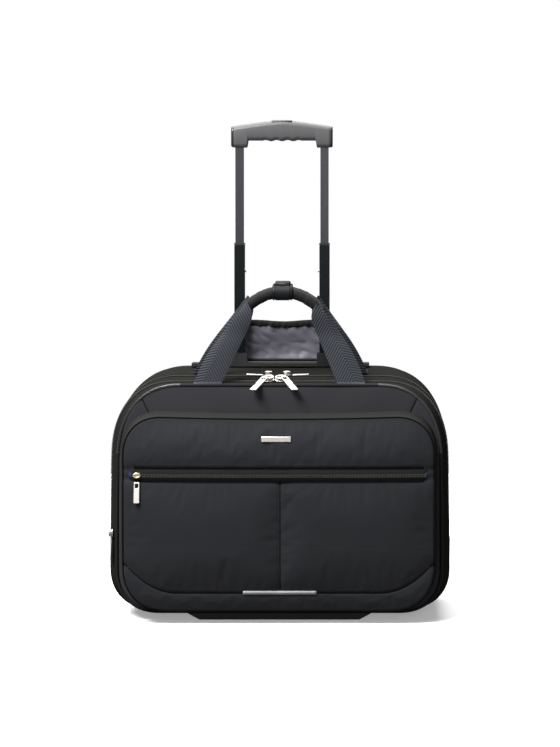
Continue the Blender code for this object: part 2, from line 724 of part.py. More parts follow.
def build():
    """Build the whole case."""
    clear_scene()
    mats = make_materials()
    hinge = (0, POCKET_FRONT, HINGE_Z)
    middle_frame = joint_frame("middle_section_frame", hinge)
    lid_frame = joint_frame("front_lid_frame", hinge, middle_frame)
    make_rear_box(mats)
    make_base_front(mats)
    make_middle_section(mats, middle_frame)
    make_front_lid(mats, lid_frame)
    make_reflective_strip(mats)
    make_front_foot(mats)
    make_wheels(mats)
    middle_stage = joint_frame("middle_stage_frame", (0, TUBE_Y, MIDDLE_Z[1]))
    inner_stage = joint_frame("inner_stage_frame", (0, TUBE_Y, GRIP_Z[0]), middle_stage)
    button = joint_frame("button_frame", (0, TUBE_Y, GRIP_Z[1]), inner_stage)
    make_well(mats)
    make_trolley(mats, middle_stage, inner_stage)
    make_grip(mats, inner_stage, button)
    front_handle = joint_frame("front_handle_frame", (0, FRONT_HANDLE_Y, HANDLE_FOOT_Z), lid_frame)
    rear_handle = joint_frame("rear_handle_frame", (0, REAR_HANDLE_Y, REAR_FOOT_Z))
    make_handle(mats, front_handle, "front_handle", math.radians(-9.5), 1)
    make_handle(mats, rear_handle, "rear_handle", math.radians(11.5), -1, 8 * MM)
    make_top_zips(mats, lid_frame)
    make_front_zips(mats, lid_frame)
    make_cover_flap(mats, joint_frame("cover_flap_frame", (0, FLAP_Y, RIM_Z + RIM_HEIGHT + 1.8 * MM)))


build()
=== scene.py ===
"""Finished looks of the rolling pilot case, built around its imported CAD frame."""
import json
import math

import bmesh
import bpy
from mathutils import Matrix, Vector, noise


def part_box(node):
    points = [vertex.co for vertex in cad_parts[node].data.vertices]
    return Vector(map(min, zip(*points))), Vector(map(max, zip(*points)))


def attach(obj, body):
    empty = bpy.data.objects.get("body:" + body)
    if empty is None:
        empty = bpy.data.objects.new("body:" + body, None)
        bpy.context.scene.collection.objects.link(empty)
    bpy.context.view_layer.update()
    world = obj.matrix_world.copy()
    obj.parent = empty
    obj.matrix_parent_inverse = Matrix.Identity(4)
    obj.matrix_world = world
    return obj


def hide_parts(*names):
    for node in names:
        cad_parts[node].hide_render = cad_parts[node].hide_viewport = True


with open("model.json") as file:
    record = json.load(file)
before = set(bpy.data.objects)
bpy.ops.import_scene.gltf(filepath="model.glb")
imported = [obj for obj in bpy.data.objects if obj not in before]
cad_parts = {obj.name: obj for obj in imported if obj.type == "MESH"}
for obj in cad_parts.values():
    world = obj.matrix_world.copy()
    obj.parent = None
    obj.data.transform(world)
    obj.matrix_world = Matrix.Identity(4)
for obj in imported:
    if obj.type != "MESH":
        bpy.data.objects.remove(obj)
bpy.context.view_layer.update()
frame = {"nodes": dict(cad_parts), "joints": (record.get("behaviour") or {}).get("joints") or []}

MM = 0.001
NODES = frame["nodes"]
PI = math.pi

# Places read from the CAD
PANEL_LOW, PANEL_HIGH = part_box("lid_panel")
POCKET_LOW, POCKET_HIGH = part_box("compartment_upper")
POCKET_BASE_LOW, POCKET_BASE_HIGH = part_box("compartment_base")
BACK_LOW, BACK_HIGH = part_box("back_panel")
MIDDLE_LOW, MIDDLE_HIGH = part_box("middle_gusset")
TAPE_LOW, TAPE_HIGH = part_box("pocket_zip_tape")
GRIP_LOW, GRIP_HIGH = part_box("grip_shell")
HINGE_Z = (POCKET_LOW.z + POCKET_BASE_HIGH.z) / 2
FACE_Y = PANEL_LOW.y
BACK_Y = BACK_HIGH.y
MAIN_ZIP_Y = MIDDLE_LOW.y - 0.3 * MM
REAR_ZIP_Y = MIDDLE_HIGH.y + 0.3 * MM
HALF = PANEL_HIGH.x
SPLIT = 0.02 * MM  # half the gap between the skins above and below the hinge line

# Soft shell, fuller than its front edge
FRONT_NARROWER = 9 * MM
SIDE_SWELL = 3.5 * MM
FRONT_CORNER = (80 * MM, 94 * MM)
BACK_CORNER = (90 * MM, 104 * MM)
BOTTOM_RADIUS = 54 * MM
SQUARENESS = 2.3
YOKE_SEAM = (Vector((178 * MM, 289 * MM)), Vector((167 * MM, 266 * MM)))
SKIN = 2.2 * MM
ZIP_GAP = 5.5 * MM

# Raised front compartment
POCKET_HALF = POCKET_HIGH.x
POCKET_EDGE = 5.5 * MM
POCKET_SAG = 4.5 * MM
POCKET_PUFF = 8 * MM
POCKET_LEAN_TOP = 8 * MM
POCKET_LEAN_FOOT = 5 * MM
CLOTH_FRAMES = 20
SEAM_LEVEL = 41.6 * MM
SEAM_RISE = 41 * MM
SEAM_FLAT = 130 * MM
CENTRE_SEAM_X = 2 * MM
ZIP_BAND = (TAPE_LOW.z - 1 * MM, TAPE_HIGH.z)

# Carry handles
HANDLE_FOOT_X = 110 * MM
STRAP_WIDTH = 36 * MM
STRAP_RISE = 104 * MM
STRAP_THICK = 1.8 * MM
HANDLE_SHIFT = 3.4 * MM
FRONT_LEAN = math.radians(9.5)
REAR_LEAN = math.radians(-11.5)
REAR_SPREAD = 5 * MM

# Camera: right of the middle and above it, nearly level. The shift, in parts of the frame's
# longer side, brings the case back into the frame and keeps its front square to the picture
EYE = Vector((0.07, -2.394, 0.51))
LOOK_DOWN = math.radians(0.8)
LENS = 87.6
FRAME_AT_FRONT = 0.958  # metres that the frame's longer side spans at the case's front
SHIFT_DOWN = 0.1667
SHIFT_TRIM = 0.0011


# ---------------------------------------------------------------- materials

def new_material(name, color, roughness, metallic=0.0, sheen=0.0, specular=0.5):
    """A Principled material, its node tree and its shader."""
    mat = bpy.data.materials.new(name)
    mat.use_nodes = True
    tree = mat.node_tree
    shader = tree.nodes["Principled BSDF"]
    shader.inputs["Base Color"].default_value = (*color, 1)
    shader.inputs["Roughness"].default_value = roughness
    shader.inputs["Metallic"].default_value = metallic
    shader.inputs["Specular IOR Level"].default_value = specular
    shader.inputs["Sheen Weight"].default_value = sheen
    shader.inputs["Sheen Roughness"].default_value = 0.5
    return mat, tree, shader


def node(tree, kind, **values):
    """A node with its properties and numbered or named inputs set."""
    made = tree.nodes.new(kind)
    for key, value in values.items():
        if key.startswith("in_"):
            name = key[3:]
            made.inputs[int(name) if name.isdigit() else name].default_value = value
        else:
            setattr(made, key, value)
    return made


def math_node(tree, operation, a, b=None):
    """A Math node fed by sockets or numbers."""
    made = node(tree, "ShaderNodeMath", operation=operation)
    for i, value in enumerate((a, b)):
        if value is None:
            continue
        if isinstance(value, (int, float)):
            made.inputs[i].default_value = value
        else:
            tree.links.new(value, made.inputs[i])
    return made.outputs[0]


def object_axes(tree):
    """The three object coordinates as sockets, and the vector."""
    place = node(tree, "ShaderNodeTexCoord")
    split = node(tree, "ShaderNodeSeparateXYZ")
    tree.links.new(place.outputs["Object"], split.inputs[0])
    return split.outputs, place.outputs["Object"]


def tint(tree, shader, color, amount, factor):
    """Base colour that swings by `amount` either side of `color` with a 0 to 1 factor."""
    mix = node(tree, "ShaderNodeMix", data_type="RGBA")
    mix.inputs["A"].default_value = (*[c * (1 - amount) for c in color], 1)
    mix.inputs["B"].default_value = (*[c * (1 + amount) for c in color], 1)
    tree.links.new(factor, mix.inputs["Factor"])
    tree.links.new(mix.outputs["Result"], shader.inputs["Base Color"])


def bump(tree, shader, height, strength, distance):
    """Bump from a height socket."""
    made = node(tree, "ShaderNodeBump", in_Strength=strength, in_Distance=distance)
    tree.links.new(height, made.inputs["Height"])
    tree.links.new(made.outputs["Normal"], shader.inputs["Normal"])


def weave_height(tree, pitch):
    """A plain weave that reads the same on every side of a piece."""
    axes, vector = object_axes(tree)
    waves = [math_node(tree, "SINE", math_node(tree, "MULTIPLY", a, 2 * PI / pitch)) for a in axes]
    pairs = [math_node(tree, "MULTIPLY", waves[i], waves[j]) for i, j in ((0, 2), (0, 1), (1, 2))]
    total = math_node(tree, "ADD", math_node(tree, "ADD", pairs[0], pairs[1]), pairs[2])
    return math_node(tree, "MULTIPLY_ADD", total, 0.5), vector


def noise_factor(tree, vector, scale, detail=3.0, roughness=0.55):
    """Fractal noise as a socket."""
    made = node(tree, "ShaderNodeTexNoise", in_Scale=scale, in_Detail=detail, in_Roughness=roughness)
    tree.links.new(vector, made.inputs["Vector"])
    return made.outputs["Fac"]


def fabric(name, color, pitch=1.1 * MM, roughness=0.8, sheen=0.05, contrast=0.22, depth=0.25, specular=0.15):
    """Woven cloth: thread pattern, slubs and slow colour drift."""
    mat, tree, shader = new_material(name, color, roughness, sheen=sheen, specular=specular)
    weave, vector = weave_height(tree, pitch)
    slub = noise_factor(tree, vector, 900, 2.0)
    drift = noise_factor(tree, vector, 14, 3.0)
    threads = math_node(tree, "MULTIPLY", weave, 0.35)
    mixed = math_node(tree, "ADD", threads, math_node(tree, "MULTIPLY", slub, 0.35))
    mixed = math_node(tree, "ADD", mixed, math_node(tree, "MULTIPLY", drift, 0.45))
    tint(tree, shader, color, contrast, mixed)
    height = math_node(tree, "ADD", weave, slub)
    bump(tree, shader, height, depth, 0.3 * MM)
    return mat


def herringbone(name, color, roughness=0.7):
    """Webbing: chevron ribs along the piece's own Z, mirrored about its centre line."""
    mat, tree, shader = new_material(name, color, roughness, sheen=0.05, specular=0.25)
    axes, vector = object_axes(tree)
    side = math_node(tree, "ABSOLUTE", axes[0])
    slope = math_node(tree, "ADD", axes[2], math_node(tree, "MULTIPLY", side, 0.75))
    ribs = math_node(tree, "SINE", math_node(tree, "MULTIPLY", slope, 2 * PI / (3.9 * MM)))
    lit = math_node(tree, "MULTIPLY_ADD", ribs, 0.5)
    lit.node.inputs[2].default_value = 0.5
    thread = noise_factor(tree, vector, 700, 2.0)
    chevron = math_node(tree, "MULTIPLY", lit, 0.75)
    both = math_node(tree, "ADD", chevron, math_node(tree, "MULTIPLY", thread, 0.3))
    tint(tree, shader, color, 0.75, both)
    bump(tree, shader, both, 0.9, 0.7 * MM)
    return mat


def ribbed(name, color, pitch=2.2 * MM):
    """Padded sleeve: close ribs across its length."""
    mat, tree, shader = new_material(name, color, 0.75, sheen=0.05, specular=0.2)
    axes, vector = object_axes(tree)
    ribs = math_node(tree, "SINE", math_node(tree, "MULTIPLY", axes[0], 2 * PI / pitch))
    fuzz = noise_factor(tree, vector, 500, 2.0)
    both = math_node(tree, "ADD", math_node(tree, "MULTIPLY", ribs, 0.4), fuzz)
    tint(tree, shader, color, 0.3, both)
    bump(tree, shader, both, 0.5, 0.5 * MM)
    return mat


def plastic(name, color, roughness, grain=500, depth=0.1, specular=0.5):
    """Moulded plastic with a fine texture and handling marks in its roughness."""
    mat, tree, shader = new_material(name, color, roughness, specular=specular)
    _, vector = object_axes(tree)
    fine = noise_factor(tree, vector, grain, 2.0)
    wear = noise_factor(tree, vector, 18, 4.0)
    tint(tree, shader, color, 0.12, wear)
    swing = node(tree, "ShaderNodeMapRange", in_3=roughness - 0.06, in_4=roughness + 0.08)
    tree.links.new(wear, swing.inputs[0])
    tree.links.new(swing.outputs[0], shader.inputs["Roughness"])
    bump(tree, shader, fine, depth, 0.15 * MM)
    return mat


def metal(name, color, roughness, brushed=False):
    """Metal with fine scratches, brushed along Z if asked."""
    mat, tree, shader = new_material(name, color, roughness, metallic=1.0)
    _, vector = object_axes(tree)
    scale = node(tree, "ShaderNodeMapping")
    scale.inputs["Scale"].default_value = (1, 1, 0.01) if brushed else (1, 1, 1)
    tree.links.new(vector, scale.inputs[0])
    lines = noise_factor(tree, scale.outputs[0], 1500 if brushed else 240, 3.0)
    swing = node(tree, "ShaderNodeMapRange", in_3=roughness - 0.05, in_4=roughness + 0.12)
    tree.links.new(lines, swing.inputs[0])
    tree.links.new(swing.outputs[0], shader.inputs["Roughness"])
    tint(tree, shader, color, 0.06, lines)
    return mat


def make_materials():
    """Every material of the case, by short name."""
    return {
        "panel": fabric("panel_weave", (0.0110, 0.0115, 0.0138), roughness=0.72, sheen=0.05),
        "yoke": fabric("yoke_weave", (0.0200, 0.0201, 0.0235), roughness=0.72, sheen=0.05),
        "nylon": fabric("gusset_nylon", (0.0138, 0.0136, 0.0124), roughness=0.9, sheen=0.0, specular=0.0),
        "band": fabric("band_nylon", (0.0190, 0.0190, 0.0180), roughness=0.85, sheen=0.0, specular=0.05),
        "back": fabric("back_nylon", (0.0160, 0.0160, 0.0168), pitch=1.6 * MM, roughness=0.8),
        "lining": fabric("grey_lining", (0.072, 0.069, 0.088), pitch=0.7 * MM, roughness=0.52, sheen=0.25,
                         contrast=0.12, depth=0.08, specular=0.35),
        "inside": fabric("inner_lining", (0.045, 0.045, 0.048), pitch=0.8 * MM, roughness=0.6),
        "webbing": herringbone("slate_webbing", (0.0200, 0.0225, 0.0290)),
        "pad": ribbed("black_sleeve", (0.0048, 0.0048, 0.0052)),
        "binding": ribbed("black_binding", (0.0045, 0.0045, 0.0045), 1.2 * MM),
        "piping": fabric("piping_cord", (0.0095, 0.0095, 0.0100), pitch=0.9 * MM, roughness=0.6, sheen=0.0,
                         specular=0.1),
        "reflective": fabric("reflective_piping", (0.015, 0.015, 0.017), pitch=0.8 * MM, roughness=0.3,
                             contrast=0.1, specular=0.5),
        "strip": fabric("reflective_strip", (0.30, 0.30, 0.30), pitch=0.8 * MM, roughness=0.45,
                        contrast=0.08),
        "tape": fabric("zip_tape", (0.0125, 0.0125, 0.0120), pitch=0.9 * MM, roughness=0.85, specular=0.0),
        "coil": plastic("zip_coil", (0.0480, 0.0480, 0.0465), 0.5, specular=0.15),
        "thread": plastic("black_thread", (0.0022, 0.0022, 0.0025), 0.8, specular=0.05),
        "blue": fabric("blue_tab", (0.010, 0.018, 0.12), pitch=0.8 * MM),
        "plastic": plastic("black_plastic", (0.0060, 0.0060, 0.0065), 0.5),
        "clasp": plastic("clasp_plastic", (0.0060, 0.0065, 0.0075), 0.5, specular=0.2),
        "grip": plastic("grip_grey", (0.058, 0.057, 0.060), 0.48, grain=900, depth=0.2),
        "grip_cap": plastic("grip_cap_black", (0.0100, 0.0100, 0.0110), 0.35),
        "grip_dark": plastic("grip_dark", (0.030, 0.030, 0.032), 0.5),
        "rubber": plastic("tyre_rubber", (0.0100, 0.0100, 0.0100), 0.8, grain=300),
        "tube": metal("anodised_violet", (0.055, 0.055, 0.061), 0.34, brushed=True),
        "outer_tube": metal("anodised_black", (0.0140, 0.0165, 0.0175), 0.36, brushed=True),
        "metal": metal("satin_nickel", (0.70, 0.67, 0.63), 0.44),
        "gold": metal("warm_nickel", (0.66, 0.57, 0.42), 0.40),
    }


MATS = make_materials()


# ---------------------------------------------------------------- mesh helpers

def make_object(name, bm, materials, body, replaces=(), smooth=35, place=None):
    """An object from a bmesh in world coordinates, riding on a CAD body."""
    mesh = bpy.data.meshes.new(name)
    if place is not None:
        bm.transform(place.inverted())
    bm.to_mesh(mesh)
    bm.free()
    for mat in materials if isinstance(materials, (list, tuple)) else [materials]:
        mesh.materials.append(MATS[mat])
    mesh.shade_smooth()
    if smooth:
        mesh.set_sharp_from_angle(angle=math.radians(smooth))
    obj = bpy.data.objects.new(name, mesh)
    bpy.context.scene.collection.objects.link(obj)
    if place is not None:
        obj.matrix_world = place
    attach(obj, body)
    if replaces:
        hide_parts(*replaces)
    return obj


def solidify(obj, thickness, inner=0):
    """Give an open skin thickness inward, with the inner face in another material slot."""
    modifier = obj.modifiers.new("thickness", "SOLIDIFY")
    modifier.thickness = thickness
    modifier.offset = -1
    modifier.material_offset = inner
    modifier.use_even_offset = False
    return obj


def bevel(obj, width, segments=3, angle=35):
    """Round an object's edges."""
    modifier = obj.modifiers.new("edge", "BEVEL")
    modifier.width = width
    modifier.segments = segments
    modifier.limit_method = "ANGLE"
    modifier.angle_limit = math.radians(angle)
    return obj


def apply_modifiers(obj):
    """Replace an object's mesh by its evaluated shape."""
    depsgraph = bpy.context.evaluated_depsgraph_get()
    mesh = bpy.data.meshes.new_from_object(obj.evaluated_get(depsgraph))
    obj.modifiers.clear()
    obj.data = mesh


def grid_mesh(rows, closed=False, flip=False):
    """Quads between rows of points, closed round each row if asked."""
    bm = bmesh.new()
    made = [[bm.verts.new(p) for p in row] for row in rows]
    add_quads(bm, made, closed, flip)
    return bm


def add_quads(bm, rows, closed=False, flip=False, material=0):
    """Quads between rows of existing vertices."""
    for near, far in zip(rows, rows[1:]):
        count = len(near)
        for i in range(count if closed else count - 1):
            j = (i + 1) % count
            corners = (near[i], near[j], far[j], far[i])
            face = bm.faces.new(tuple(reversed(corners)) if flip else corners)
            face.material_index = material


def add_block(bm, place, size):
    """A box of a size, turned and placed by a matrix."""
    half = Vector(size) / 2
    made = bmesh.ops.create_cube(bm, size=1.0)["verts"]
    for vert in made:
        vert.co = place @ Vector((vert.co.x * 2 * half.x, vert.co.y * 2 * half.y, vert.co.z * 2 * half.z))
    return made


def resample(path, pitch):
    """Points and unit tangents every `pitch` along a polyline."""
    places = []
    left = 0.0
    for a, b in zip(path, path[1:]):
        step = b - a
        length = step.length
        if length < 1e-9:
            continue
        along = step / length
        while left <= length:
            places.append((a + along * left, along))
            left += pitch
        left -= length
    return places


def tube_mesh(path, radius, sides=10, closed=False, bm=None):
    """A round tube along a path; the radius may be a function of the share along it."""
    bm = bm or bmesh.new()
    count = len(path)
    rings = []
    normal = None
    for i, point in enumerate(path):
        ahead = path[(i + 1) % count] if closed else path[min(i + 1, count - 1)]
        behind = path[i - 1] if closed or i else path[0]
        along = (ahead - behind).normalized()
        if normal is None:
            normal = along.orthogonal().normalized()
        normal = (normal - along * normal.dot(along)).normalized()
        across = along.cross(normal)
        r = radius(i / (count - 1)) if callable(radius) else radius
        turn = [2 * PI * k / sides for k in range(sides)]
        rings.append([bm.verts.new(point + r * (math.cos(a) * normal + math.sin(a) * across)) for a in turn])
    if closed:
        rings.append(rings[0])
    add_quads(bm, rings, closed=True, flip=True)
    if not closed:
        bm.faces.new(rings[0])
        bm.faces.new(list(reversed(rings[-1])))
    return bm


def blocks_along(places, normal_of, size, shift=0.0, bm=None):
    """Small blocks along a path: size is (along, across, out), shifted across."""
    bm = bm or bmesh.new()
    for point, along in places:
        out = normal_of(point, along)
        across = along.cross(out).normalized()
        turn = Matrix((along, across, out)).transposed().to_4x4()
        turn.translation = point + across * shift
        add_block(bm, turn, size)
    return bm


def stitches(name, path, out, body, pitch=3.4 * MM, length=2.3 * MM, width=0.7 * MM):
    """A row of sewn thread lying on a surface."""
    bm = blocks_along(resample(path, pitch), out, (length, width, 0.5 * MM))
    return bevel(make_object(name, bm, "thread", body), 0.2 * MM, 1)


def ripple(point, size, amount):
    """A smooth, repeatable displacement for cloth that isn't perfectly flat."""
    return noise.noise(point / size) * amount


def smooth_step(t):
    """0 to 1 with flat ends."""
    t = min(max(t, 0.0), 1.0)
    return t * t * (3 - 2 * t)


# ---------------------------------------------------------------- cloth

class ClothField:
    """Depth changes of an upright sheet that is sewn down in places, from a short cloth run.
    """

    def __init__(self, low, high, pitch, depth, held, pressure, grow, cap):
        self.low = low
        self.columns = int((high[0] - low[0]) / pitch) + 1
        self.rows = int((high[1] - low[1]) / pitch) + 1
        self.step = ((high[0] - low[0]) / (self.columns - 1), (high[1] - low[1]) / (self.rows - 1))
        self.moves = [0.0] * (self.columns * self.rows)
        self.simulate(depth, held, pressure, grow, cap)

    def place(self, index):
        """(x, z) of a grid point."""
        i, j = divmod(index, self.columns)
        return self.low[0] + j * self.step[0], self.low[1] + i * self.step[1]

    def simulate(self, depth, held, pressure, grow, cap):
        """Run the sheet for a few frames and keep how far each point moves in Y."""
        places = [self.place(k) for k in range(len(self.moves))]
        points = [(x, depth(x, z), z) for x, z in places]
        wide = self.columns
        faces = []
        for i in range(self.rows - 1):
            for j in range(wide - 1):
                k = i * wide + j
                faces.append((k, k + 1, k + wide + 1, k + wide))
        mesh = bpy.data.meshes.new("cloth_run")
        mesh.from_pydata(points, [], faces)
        obj = bpy.data.objects.new("cloth_run", mesh)
        scene = bpy.context.scene
        scene.collection.objects.link(obj)
        group = obj.vertex_groups.new(name="held")
        group.add([k for k, (x, z) in enumerate(places) if held(x, z)], 1.0, "REPLACE")
        modifier = obj.modifiers.new("cloth", "CLOTH")
        cloth = modifier.settings
        cloth.quality = 5
        cloth.mass = 0.15
        cloth.bending_stiffness = 0.2
        cloth.use_pressure = True
        cloth.uniform_pressure_force = pressure
        cloth.vertex_group_mass = "held"
        cloth.shrink_min = -grow
        cloth.effector_weights.gravity = 0
        modifier.collision_settings.use_collision = False
        modifier.point_cache.frame_start = 1
        modifier.point_cache.frame_end = CLOTH_FRAMES
        for number in range(1, CLOTH_FRAMES + 1):
            scene.frame_set(number)
        depsgraph = bpy.context.evaluated_depsgraph_get()
        moved = obj.evaluated_get(depsgraph).data.vertices
        self.moves = [min(max(v.co.y - p[1], -cap), cap) for v, p in zip(moved, points)]
        bpy.data.objects.remove(obj)
        scene.frame_set(1)

    def at(self, x, z):
        """The change at a place, between grid points."""
        a = min(max((x - self.low[0]) / self.step[0], 0), self.columns - 1.001)
        b = min(max((z - self.low[1]) / self.step[1], 0), self.rows - 1.001)
        j, i = int(a), int(b)
        fa, fb = a - j, b - i
        k = i * self.columns + j
        near = self.moves[k] * (1 - fa) + self.moves[k + 1] * fa
        k += self.columns
        far = self.moves[k] * (1 - fa) + self.moves[k + 1] * fa
        return near * (1 - fb) + far * fb


# ---------------------------------------------------------------- shell outline

def shell_shape(y):
    """Half width, top, bottom and upper corner of the shell at a depth."""
    depth = (y - FACE_Y) / (BACK_Y - FACE_Y)
    full = smooth_step((y - FACE_Y + 6 * MM) / (34 * MM))
    tail = smooth_step((BACK_Y - y) / (14 * MM))
    half = HALF - FRONT_NARROWER + (FRONT_NARROWER + SIDE_SWELL) * full - 4 * MM * (1 - tail)
    rise = max(depth, 0) ** 0.75
    top = PANEL_HIGH.z - 1 * MM + (BACK_HIGH.z - PANEL_HIGH.z) * rise - 2 * MM * (1 - tail)
    corner = [f + (b - f) * rise for f, b in zip(FRONT_CORNER, BACK_CORNER)]
    bottom = BACK_LOW.z + 1.5 * MM * (1 - full)
    return half, top, bottom, corner


def side_lean(z):
    """The sides stand a little wider low down than at the shoulders."""
    return 1.6 * MM * math.cos(PI * (z - 90 * MM) / (240 * MM))


def corner_point(a, rx, rz):
    """A squarish corner's reach and rise at an angle, with its outward normal."""
    power = 2 / SQUARENESS
    c = abs(math.cos(a)) ** power
    s = abs(math.sin(a)) ** power
    n = Vector((c ** (SQUARENESS - 1) / rx, s ** (SQUARENESS - 1) / rz)).normalized()
    return rx * c, rz * s, n


def upper_outline(shape, inset=0.0):
    """(x, z, normal x, normal z) from the right hinge, over the top, to the left hinge."""
    half, top, _, (rx, rz) = shape
    points = []
    shoulder = top - rz
    for i in range(24):
        points.append((half, HINGE_Z + SPLIT + (shoulder - HINGE_Z - SPLIT) * i / 24, 1.0, 0.0))
    for i in range(33):
        dx, dz, n = corner_point(PI / 2 * i / 32, rx, rz)
        points.append((half - rx + dx, shoulder + dz, n.x, n.y))
    reach = half - rx
    steps = 34
    for i in range(1, steps + 1):
        points.append((reach * (1 - i / steps), top, 0.0, 1.0))
    return mirrored(points, inset)


def lower_outline(shape, inset=0.0):
    """The same from the right hinge, under the bottom, to the left hinge."""
    half, _, bottom, _ = shape
    r = BOTTOM_RADIUS
    points = []
    for i in range(12):
        points.append((half, HINGE_Z - SPLIT - (HINGE_Z - SPLIT - bottom - r) * i / 12, 1.0, 0.0))
    for i in range(21):
        dx, dz, n = corner_point(PI / 2 * i / 20, r, r)
        points.append((half - r + dx, bottom + r - dz, n.x, -n.y))
    reach = half - r
    steps = 44
    for i in range(1, steps + 1):
        points.append((reach * (1 - i / steps), bottom, 0.0, -1.0))
    return mirrored(points, inset)


def mirrored(points, inset):
    """A right half outline with its mirror image, moved inward by an inset."""
    whole = points + [(-x, z, -nx, nz) for x, z, nx, nz in reversed(points[:-1])]
    moved = []
    for x, z, nx, nz in whole:
        lean = side_lean(z) * nx
        moved.append((x + lean - nx * inset, z - nz * inset, nx, nz))
    return moved


def closed_outline(shape, inset=0.0):
    """The whole outline as one loop."""
    upper = upper_outline(shape, inset)
    lower = lower_outline(shape, inset)
    return upper + list(reversed(lower))[1:-1]


def edge_path(outline, y, out=0.0):
    """Outline points as a path in space at a depth, moved outward."""
    return [Vector((x + nx * out, y, z + nz * out)) for x, z, nx, nz in outline(shell_shape(y))]


def outward(point, along):
    """Surface normal on the shell's rim: across the path and across Y."""
    out = along.cross(Vector((0, 1, 0))).normalized()
    centre = Vector((0, point.y, 160 * MM))
    return out if out.dot(point - centre) > 0 else -out


# ---------------------------------------------------------------- gussets, piping and zips

def gusset(name, outline, y0, y1, puff, body, replaces=(), closed=False):
    """A side wall of the shell between two seams, a little fuller than flat."""
    steps = max(6, int(abs(y1 - y0) / (3.2 * MM)))
    rows = []
    for k in range(steps + 1):
        s = k / steps
        y = y0 + (y1 - y0) * s
        swell = puff * math.sin(PI * s) ** 0.6 - 0.9 * MM
        row = []
        for x, z, nx, nz in outline(shell_shape(y)):
            point = Vector((x, y, z))
            out = swell + ripple(point, 0.045, 0.5 * MM) * math.sin(PI * s)
            row.append(Vector((x + nx * out, y, z + nz * out)))
        rows.append(row)
    bm = grid_mesh(rows, closed=closed, flip=(outline is not lower_outline))
    obj = make_object(name, bm, ["nylon", "inside"], body, replaces)
    return solidify(obj, SKIN, 1)


def cut_wheel_wells(obj):
    """Open a skin where the wheel housings stand."""
    for side in ("left", "right"):
        low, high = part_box(f"wheel_housing_{side}")
        bm = bmesh.new()
        centre = (low + high) / 2
        centre.y += 20 * MM
        size = high - low
        size.x += 1 * MM
        size.y += 41 * MM
        size.z += 41 * MM
        centre.z -= 20 * MM
        add_block(bm, Matrix.Translation(centre), size)
        mesh = bpy.data.meshes.new("well")
        bm.to_mesh(mesh)
        bm.free()
        cutter = bpy.data.objects.new("well", mesh)
        bpy.context.scene.collection.objects.link(cutter)
        modifier = obj.modifiers.new("well", "BOOLEAN")
        modifier.operation = "DIFFERENCE"
        modifier.solver = "EXACT"
        modifier.object = cutter
        bpy.context.view_layer.update()
        apply_modifiers(obj)
        bpy.data.objects.remove(cutter)
    return obj


def zip_half(name, outline, y, side, body):
    """One tape of a long zip with its row of coil teeth."""
    rows = []
    for reach, drop in ((0.5, 0.2), (2.6, 0.2), (2.9, 0.9), (ZIP_GAP / MM + 2.5, 1.4)):
        row_y = y + side * reach * MM
        rows.append([Vector((px + nx * -drop * MM, row_y, pz - nz * drop * MM))
                     for px, pz, nx, nz in outline(shell_shape(row_y))])
    tape = make_object(f"{name}_tape", grid_mesh(rows, flip=(side > 0)), "tape", body)
    solidify(tape, 0.8 * MM)
    path = edge_path(outline, y + side * 1.1 * MM, 0.3 * MM)
    bm = blocks_along(resample(path, 2.1 * MM), outward, (1.2 * MM, 2.0 * MM, 1.5 * MM))
    bevel(make_object(f"{name}_teeth", bm, "coil", body), 0.35 * MM, 1)


def piping(name, path, body, material="piping", radius=2.1 * MM, closed=False):
    """A round corded edge."""
    return make_object(name, tube_mesh(path, radius, 10, closed), material, body)


def build_shell():
    """The case's side walls with their zips, piping and stitch lines."""
    gusset("lid_side_wall", upper_outline, FACE_Y + 0.5 * MM, MAIN_ZIP_Y - ZIP_GAP, 1.6 * MM, "front_lid",
           ["lid_gusset"])
    gusset("middle_side_wall", upper_outline, MAIN_ZIP_Y + ZIP_GAP, REAR_ZIP_Y - ZIP_GAP, 1.8 * MM,
           "middle_section", ["middle_gusset"])
    gusset("base_side_wall", lower_outline, FACE_Y + 0.5 * MM, REAR_ZIP_Y + ZIP_GAP - 0.4 * MM, 2.0 * MM,
           "case", ["base_gusset"])
    rear = gusset("rear_side_wall", closed_outline, REAR_ZIP_Y + ZIP_GAP, BACK_Y - 2 * MM, 2.6 * MM, "case",
                  ["rear_gusset"], closed=True)
    cut_wheel_wells(rear)
    zip_half("main_zip_front", upper_outline, MAIN_ZIP_Y, -1, "front_lid")
    zip_half("main_zip_back", upper_outline, MAIN_ZIP_Y, 1, "middle_section")
    zip_half("rear_zip_front", upper_outline, REAR_ZIP_Y, -1, "middle_section")
    zip_half("rear_zip_back", upper_outline, REAR_ZIP_Y, 1, "case")
    upper = edge_path(upper_outline, FACE_Y, 0.4 * MM)
    piping("front_piping_upper", upper, "front_lid")
    piping("front_piping_lower", edge_path(lower_outline, FACE_Y, 0.4 * MM), "case")
    for side, sign in (("left", -1), ("right", 1)):
        corner = [p for p in upper if sign * p.x > 124 * MM and p.z > 214 * MM]
        piping(f"reflective_piping_{side}", corner, "front_lid", "reflective", 2.25 * MM)
    back = [p for p in edge_path(closed_outline, BACK_Y - 1 * MM, 0.2 * MM)]
    piping("back_piping", back, "case", closed=True)
    for name, outline, y, body in (
        ("lid_wall_stitches", upper_outline, MAIN_ZIP_Y - ZIP_GAP - 1.8 * MM, "front_lid"),
        ("middle_wall_stitches", upper_outline, MAIN_ZIP_Y + ZIP_GAP + 1.8 * MM, "middle_section"),
        ("middle_rear_stitches", upper_outline, REAR_ZIP_Y - ZIP_GAP - 1.8 * MM, "middle_section"),
        ("rear_wall_stitches", upper_outline, REAR_ZIP_Y + ZIP_GAP + 1.8 * MM, "case"),
    ):
        stitches(name, edge_path(outline, y, 0.6 * MM), outward, body)


# ---------------------------------------------------------------- flat and padded panels

